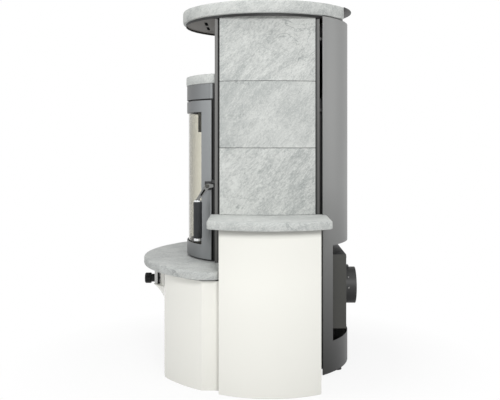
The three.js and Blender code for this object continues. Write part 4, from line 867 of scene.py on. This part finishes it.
# ---- handle -------------------------------------------------------------------------------------
class STOVE_OT_handle(bpy.types.Operator):
    """Dress the door's bracket, lever and grip, and add the pivot's nut and a dark strip as painted shade in the
    lever's hollow
    """

    bl_idname = "stove.handle"
    bl_label = "Handle"

    def execute(self, context):
        steel = context.scene.stove_steel
        settings = context.scene.stove_door
        satin = painted_steel("lever_steel", scaled(tuple(steel.grey), 0.9), 0.9, 0.26)
        nut_steel = painted_steel("nut_steel", scaled(tuple(steel.dark), 1.6), 0.8, 0.3)
        black = painted_steel("bracket_paint", tuple(steel.black), 0.2, 0.42)
        bright = chrome("handle_chrome")
        dress("handle_bracket", black, 0.6 * MILLIMETRE)
        dress("handle_lever", satin, 0.7 * MILLIMETRE)
        dress("grip_core", bright, 1.6 * MILLIMETRE, 4)
        dress("handle_grip", grip_plastic("grip_plastic", tuple(settings.grip)), 1.2 * MILLIMETRE, 3)
        pivot = Vector(JOINTS["handle_pivot"]["pos_m"])
        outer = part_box("handle_lever")[1].x
        self.add_nut(outer, pivot, nut_steel)
        self.add_hollow_shade(outer, pivot, felt_and_shade("hollow_shade"))
        return {"FINISHED"}

    def add_nut(self, outer, pivot, material):
        """A six-sided nut on a washer, at the pivot's outer end."""
        profile = [(r * MILLIMETRE, h * MILLIMETRE) for r, h in
                   [(0, 0), (8.2, 0), (8.2, 1.4), (6.2, 1.6), (6.2, 5.0), (5.2, 6.0), (0, 6.0)]]
        nut = lathe(profile, facing((outer + 0.3 * MILLIMETRE, pivot.y, pivot.z), (1, 0, 0)), 36,
                    lambda index, angle: (1 - 0.05 * math.cos(6 * angle)) if index in (3, 4, 5) else 1.0)
        show("pivot_nut", nut, "door", material)

    def add_hollow_shade(self, outer, pivot, material):
        """A dark strip as painted shade in the lever's hollow, from below the nut half-way to the grip."""
        low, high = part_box("grip_core")
        reach = Vector((0, (low.y + high.y) / 2 - pivot.y, high.z - pivot.z))
        size = Vector((6.5 * MILLIMETRE, 0.6 * MILLIMETRE, reach.length * 0.42))
        place = Vector((outer + 0.2 * MILLIMETRE, pivot.y, pivot.z)) + reach * 0.46
        bar("lever_hollow_shade", size, place, BODY_OF["handle_lever"], material,
            turn=reach.to_track_quat("Z", "X").to_matrix())


# ---- air control --------------------------------------------------------------------------------
class STOVE_OT_air_control(bpy.types.Operator):
    """Model the fluted knob and dress the rod, its guide, the damper and its chamber"""

    bl_idname = "stove.air_control"
    bl_label = "Air control"

    def execute(self, context):
        settings = context.scene.stove_door
        plastic = grip_plastic("knob_plastic", scaled(tuple(settings.grip), 0.3))
        low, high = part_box("air_knob")
        radius = (high.x - low.x) / 2
        middle = (low + high) / 2
        length = high.y - low.y
        shape = [(0, 0), (0.62, 0), (0.86, 0.02), (1, 0.09), (1, 0.6), (0.93, 0.65), (0.77, 0.66),
                 (0.75, 0.72), (0.75, 0.96), (0.7, 1), (0, 1)]
        profile = [(r * radius, h * length) for r, h in shape]

        def flutes(index, angle):
            return 1 - 0.1 * max(0.0, math.cos(9 * angle)) ** 3 if 2 <= index <= 5 else 1.0

        knob = lathe(profile, facing((middle.x, low.y, middle.z), (0, 1, 0)), 108, flutes)
        piece = show("air_knob_shown", knob, BODY_OF["air_knob"], plastic)
        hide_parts("air_knob")
        low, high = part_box("rod_guide")
        # the rear of the guide is painted black as shade under the front shelf
        satin = painted_steel("guide_steel", GUIDE_TONE, 0.8, 0.32,
                              black_mask=beyond("Y", low.y * 0.4 + high.y * 0.6, 1))
        dark = painted_steel("damper_paint", tuple(context.scene.stove_steel.dark), 0.2, 0.5)
        dress("air_rod", dark, 0.8 * MILLIMETRE)
        dress("rod_guide", satin, 0.5 * MILLIMETRE)
        coat("air_damper", dark)
        coat("damper_chamber", dark)
        return {"FINISHED"}


# ---- fire ---------------------------------------------------------------------------------------
class STOVE_OT_firebox(bpy.types.Operator):
    """Dress the bricks, hearth, grate, baffle and ash pan"""

    bl_idname = "stove.firebox"
    bl_label = "Firebox"

    def execute(self, context):
        settings = context.scene.stove_fire
        brick = firebrick("firebrick", tuple(settings.brick))
        for node in both("firebrick_side") + ["firebrick_back", "hearth_slab", "baffle_plate"]:
            dress(node, brick, 1.5 * MILLIMETRE)
        dress("grate", cast_iron("grate_iron", tuple(settings.iron)), 1.2 * MILLIMETRE)
        pan = painted_steel("ash_pan_paint", tuple(context.scene.stove_steel.dark), 0.3, 0.5)
        dress("ash_pan", pan, 0.4 * MILLIMETRE)
        return {"FINISHED"}


# ---- stage --------------------------------------------------------------------------------------
class STOVE_OT_stage(bpy.types.Operator):
    """Set up the floor, the camera at the photograph's angle and plain soft studio light"""

    bl_idname = "stove.stage"
    bl_label = "Stage"

    def execute(self, context):
        scene = context.scene
        settings = scene.stove_stage
        scene.view_settings.view_transform = "Standard"
        self.add_camera(scene, settings)
        self.add_lamp("key", (3.4, 0.55, 1.9), (0.1, 0.0, 0.75), 0.6, settings.key)
        self.add_lamp("front", (1.2, -3.4, 2.2), (0.1, 0.0, 0.8), 2.0, settings.front)
        self.add_lamp("rear", (-0.4, 3.6, 1.4), (0.1, 0.1, 0.9), 1.6, settings.rear)
        self.add_lamp("over", (0.7, -0.2, 3.5), (0.2, 0.0, 0.9), 2.0, settings.over)
        self.add_floor()
        self.set_world(scene, settings.room)
        return {"FINISHED"}

    def add_camera(self, scene, settings):
        """A level camera at the stove's right side, with its lens shifted."""
        data = bpy.data.cameras.new("camera")
        data.lens = settings.lens
        data.sensor_width = 36
        data.shift_x, data.shift_y = settings.shift
        camera = bpy.data.objects.new("camera", data)
        camera.location = (settings.camera_distance, settings.camera_depth, settings.camera_height)
        camera.rotation_euler = (math.pi / 2, 0, math.pi / 2)
        scene.collection.objects.link(camera)
        scene.camera = camera

    def add_lamp(self, name, place, target, size, power):
        """A square lamp that faces a target."""
        data = bpy.data.lights.new(name, "AREA")
        data.shape = "SQUARE"
        data.size = size
        data.energy = power
        lamp = bpy.data.objects.new(name, data)
        lamp.location = place
        lamp.rotation_euler = (Vector(target) - Vector(place)).to_track_quat("-Z", "Y").to_euler()
        bpy.context.scene.collection.objects.link(lamp)

    def add_floor(self):
        """A pale floor that looks white and keeps a faint shadow."""
        mesh = bmesh.new()
        bmesh.ops.create_grid(mesh, x_segments=1, y_segments=1, size=30)
        data = bpy.data.meshes.new("floor")
        mesh.to_mesh(data)
        mesh.free()
        finish = Finish("floor_white", base_color=rgba(FLOOR_TONE), roughness=0.9)
        reach = finish.node("ShaderNodeVectorMath", {"operation": "LENGTH"}, {0: finish.place()}, "Value")
        plain = FLOOR_PLAIN + ((reach - FLOOR_REACH) * FLOOR_BLEND).clipped() * (1.0 - FLOOR_PLAIN)
        seen = finish.rays("Is Camera Ray", "Is Glossy Ray", "Is Transmission Ray") * plain
        white = finish.node("ShaderNodeEmission", {}, {"Color": rgba(WHITE), "Strength": 1.0})
        shader = Signal(finish, finish.shader.outputs[0])
        mixed = finish.node("ShaderNodeMixShader", {}, {0: seen, 1: shader, 2: white})
        finish.tree.links.new(mixed.socket, finish.tree.nodes["Material Output"].inputs["Surface"])
        data.materials.append(finish.material)
        floor = bpy.data.objects.new("floor", data)
        bpy.context.scene.collection.objects.link(floor)

    def set_world(self, scene, strength):
        """Even light from all around, which looks white behind the stove."""
        world = bpy.data.worlds.new("studio")
        world.use_nodes = True
        sky = Shading(world.node_tree)
        seen = sky.rays("Is Camera Ray", "Is Glossy Ray", "Is Transmission Ray")
        background = world.node_tree.nodes["Background"]
        background.inputs["Color"].default_value = rgba(WHITE)
        sky.feed(background.inputs["Strength"], seen * (1.0 - strength) + strength)
        scene.world = world


# ---- panel and registration ---------------------------------------------------------------------
OPERATORS = (
    STOVE_OT_stage,
    STOVE_OT_stone,
    STOVE_OT_ceramic,
    STOVE_OT_steelwork,
    STOVE_OT_door,
    STOVE_OT_handle,
    STOVE_OT_air_control,
    STOVE_OT_firebox,
)


class STOVE_PT_looks(bpy.types.Panel):
    """Lists the stove's settings and steps"""

    bl_idname = "STOVE_PT_looks"
    bl_label = "Tiled stove"
    bl_space_type = "VIEW_3D"
    bl_region_type = "UI"
    bl_category = "Tiled stove"

    def draw(self, context):
        for key, group in SETTINGS.items():
            box = self.layout.box()
            settings = getattr(context.scene, key)
            for name in group.__annotations__:
                box.prop(settings, name)
        for operator in OPERATORS:
            self.layout.operator(operator.bl_idname)


def register():
    for group in SETTINGS.values():
        bpy.utils.register_class(group)
    for key, group in SETTINGS.items():
        setattr(bpy.types.Scene, key, bpy.props.PointerProperty(type=group))
    for operator in OPERATORS:
        bpy.utils.register_class(operator)
    bpy.utils.register_class(STOVE_PT_looks)


def unregister():
    bpy.utils.unregister_class(STOVE_PT_looks)
    for operator in reversed(OPERATORS):
        bpy.utils.unregister_class(operator)
    for key in SETTINGS:
        delattr(bpy.types.Scene, key)
    for group in SETTINGS.values():
        bpy.utils.unregister_class(group)


def main():
    register()
    for operator in OPERATORS:
        group, step = operator.bl_idname.split(".")
        getattr(getattr(bpy.ops, group), step)()


if __name__ == "__main__":
    main()
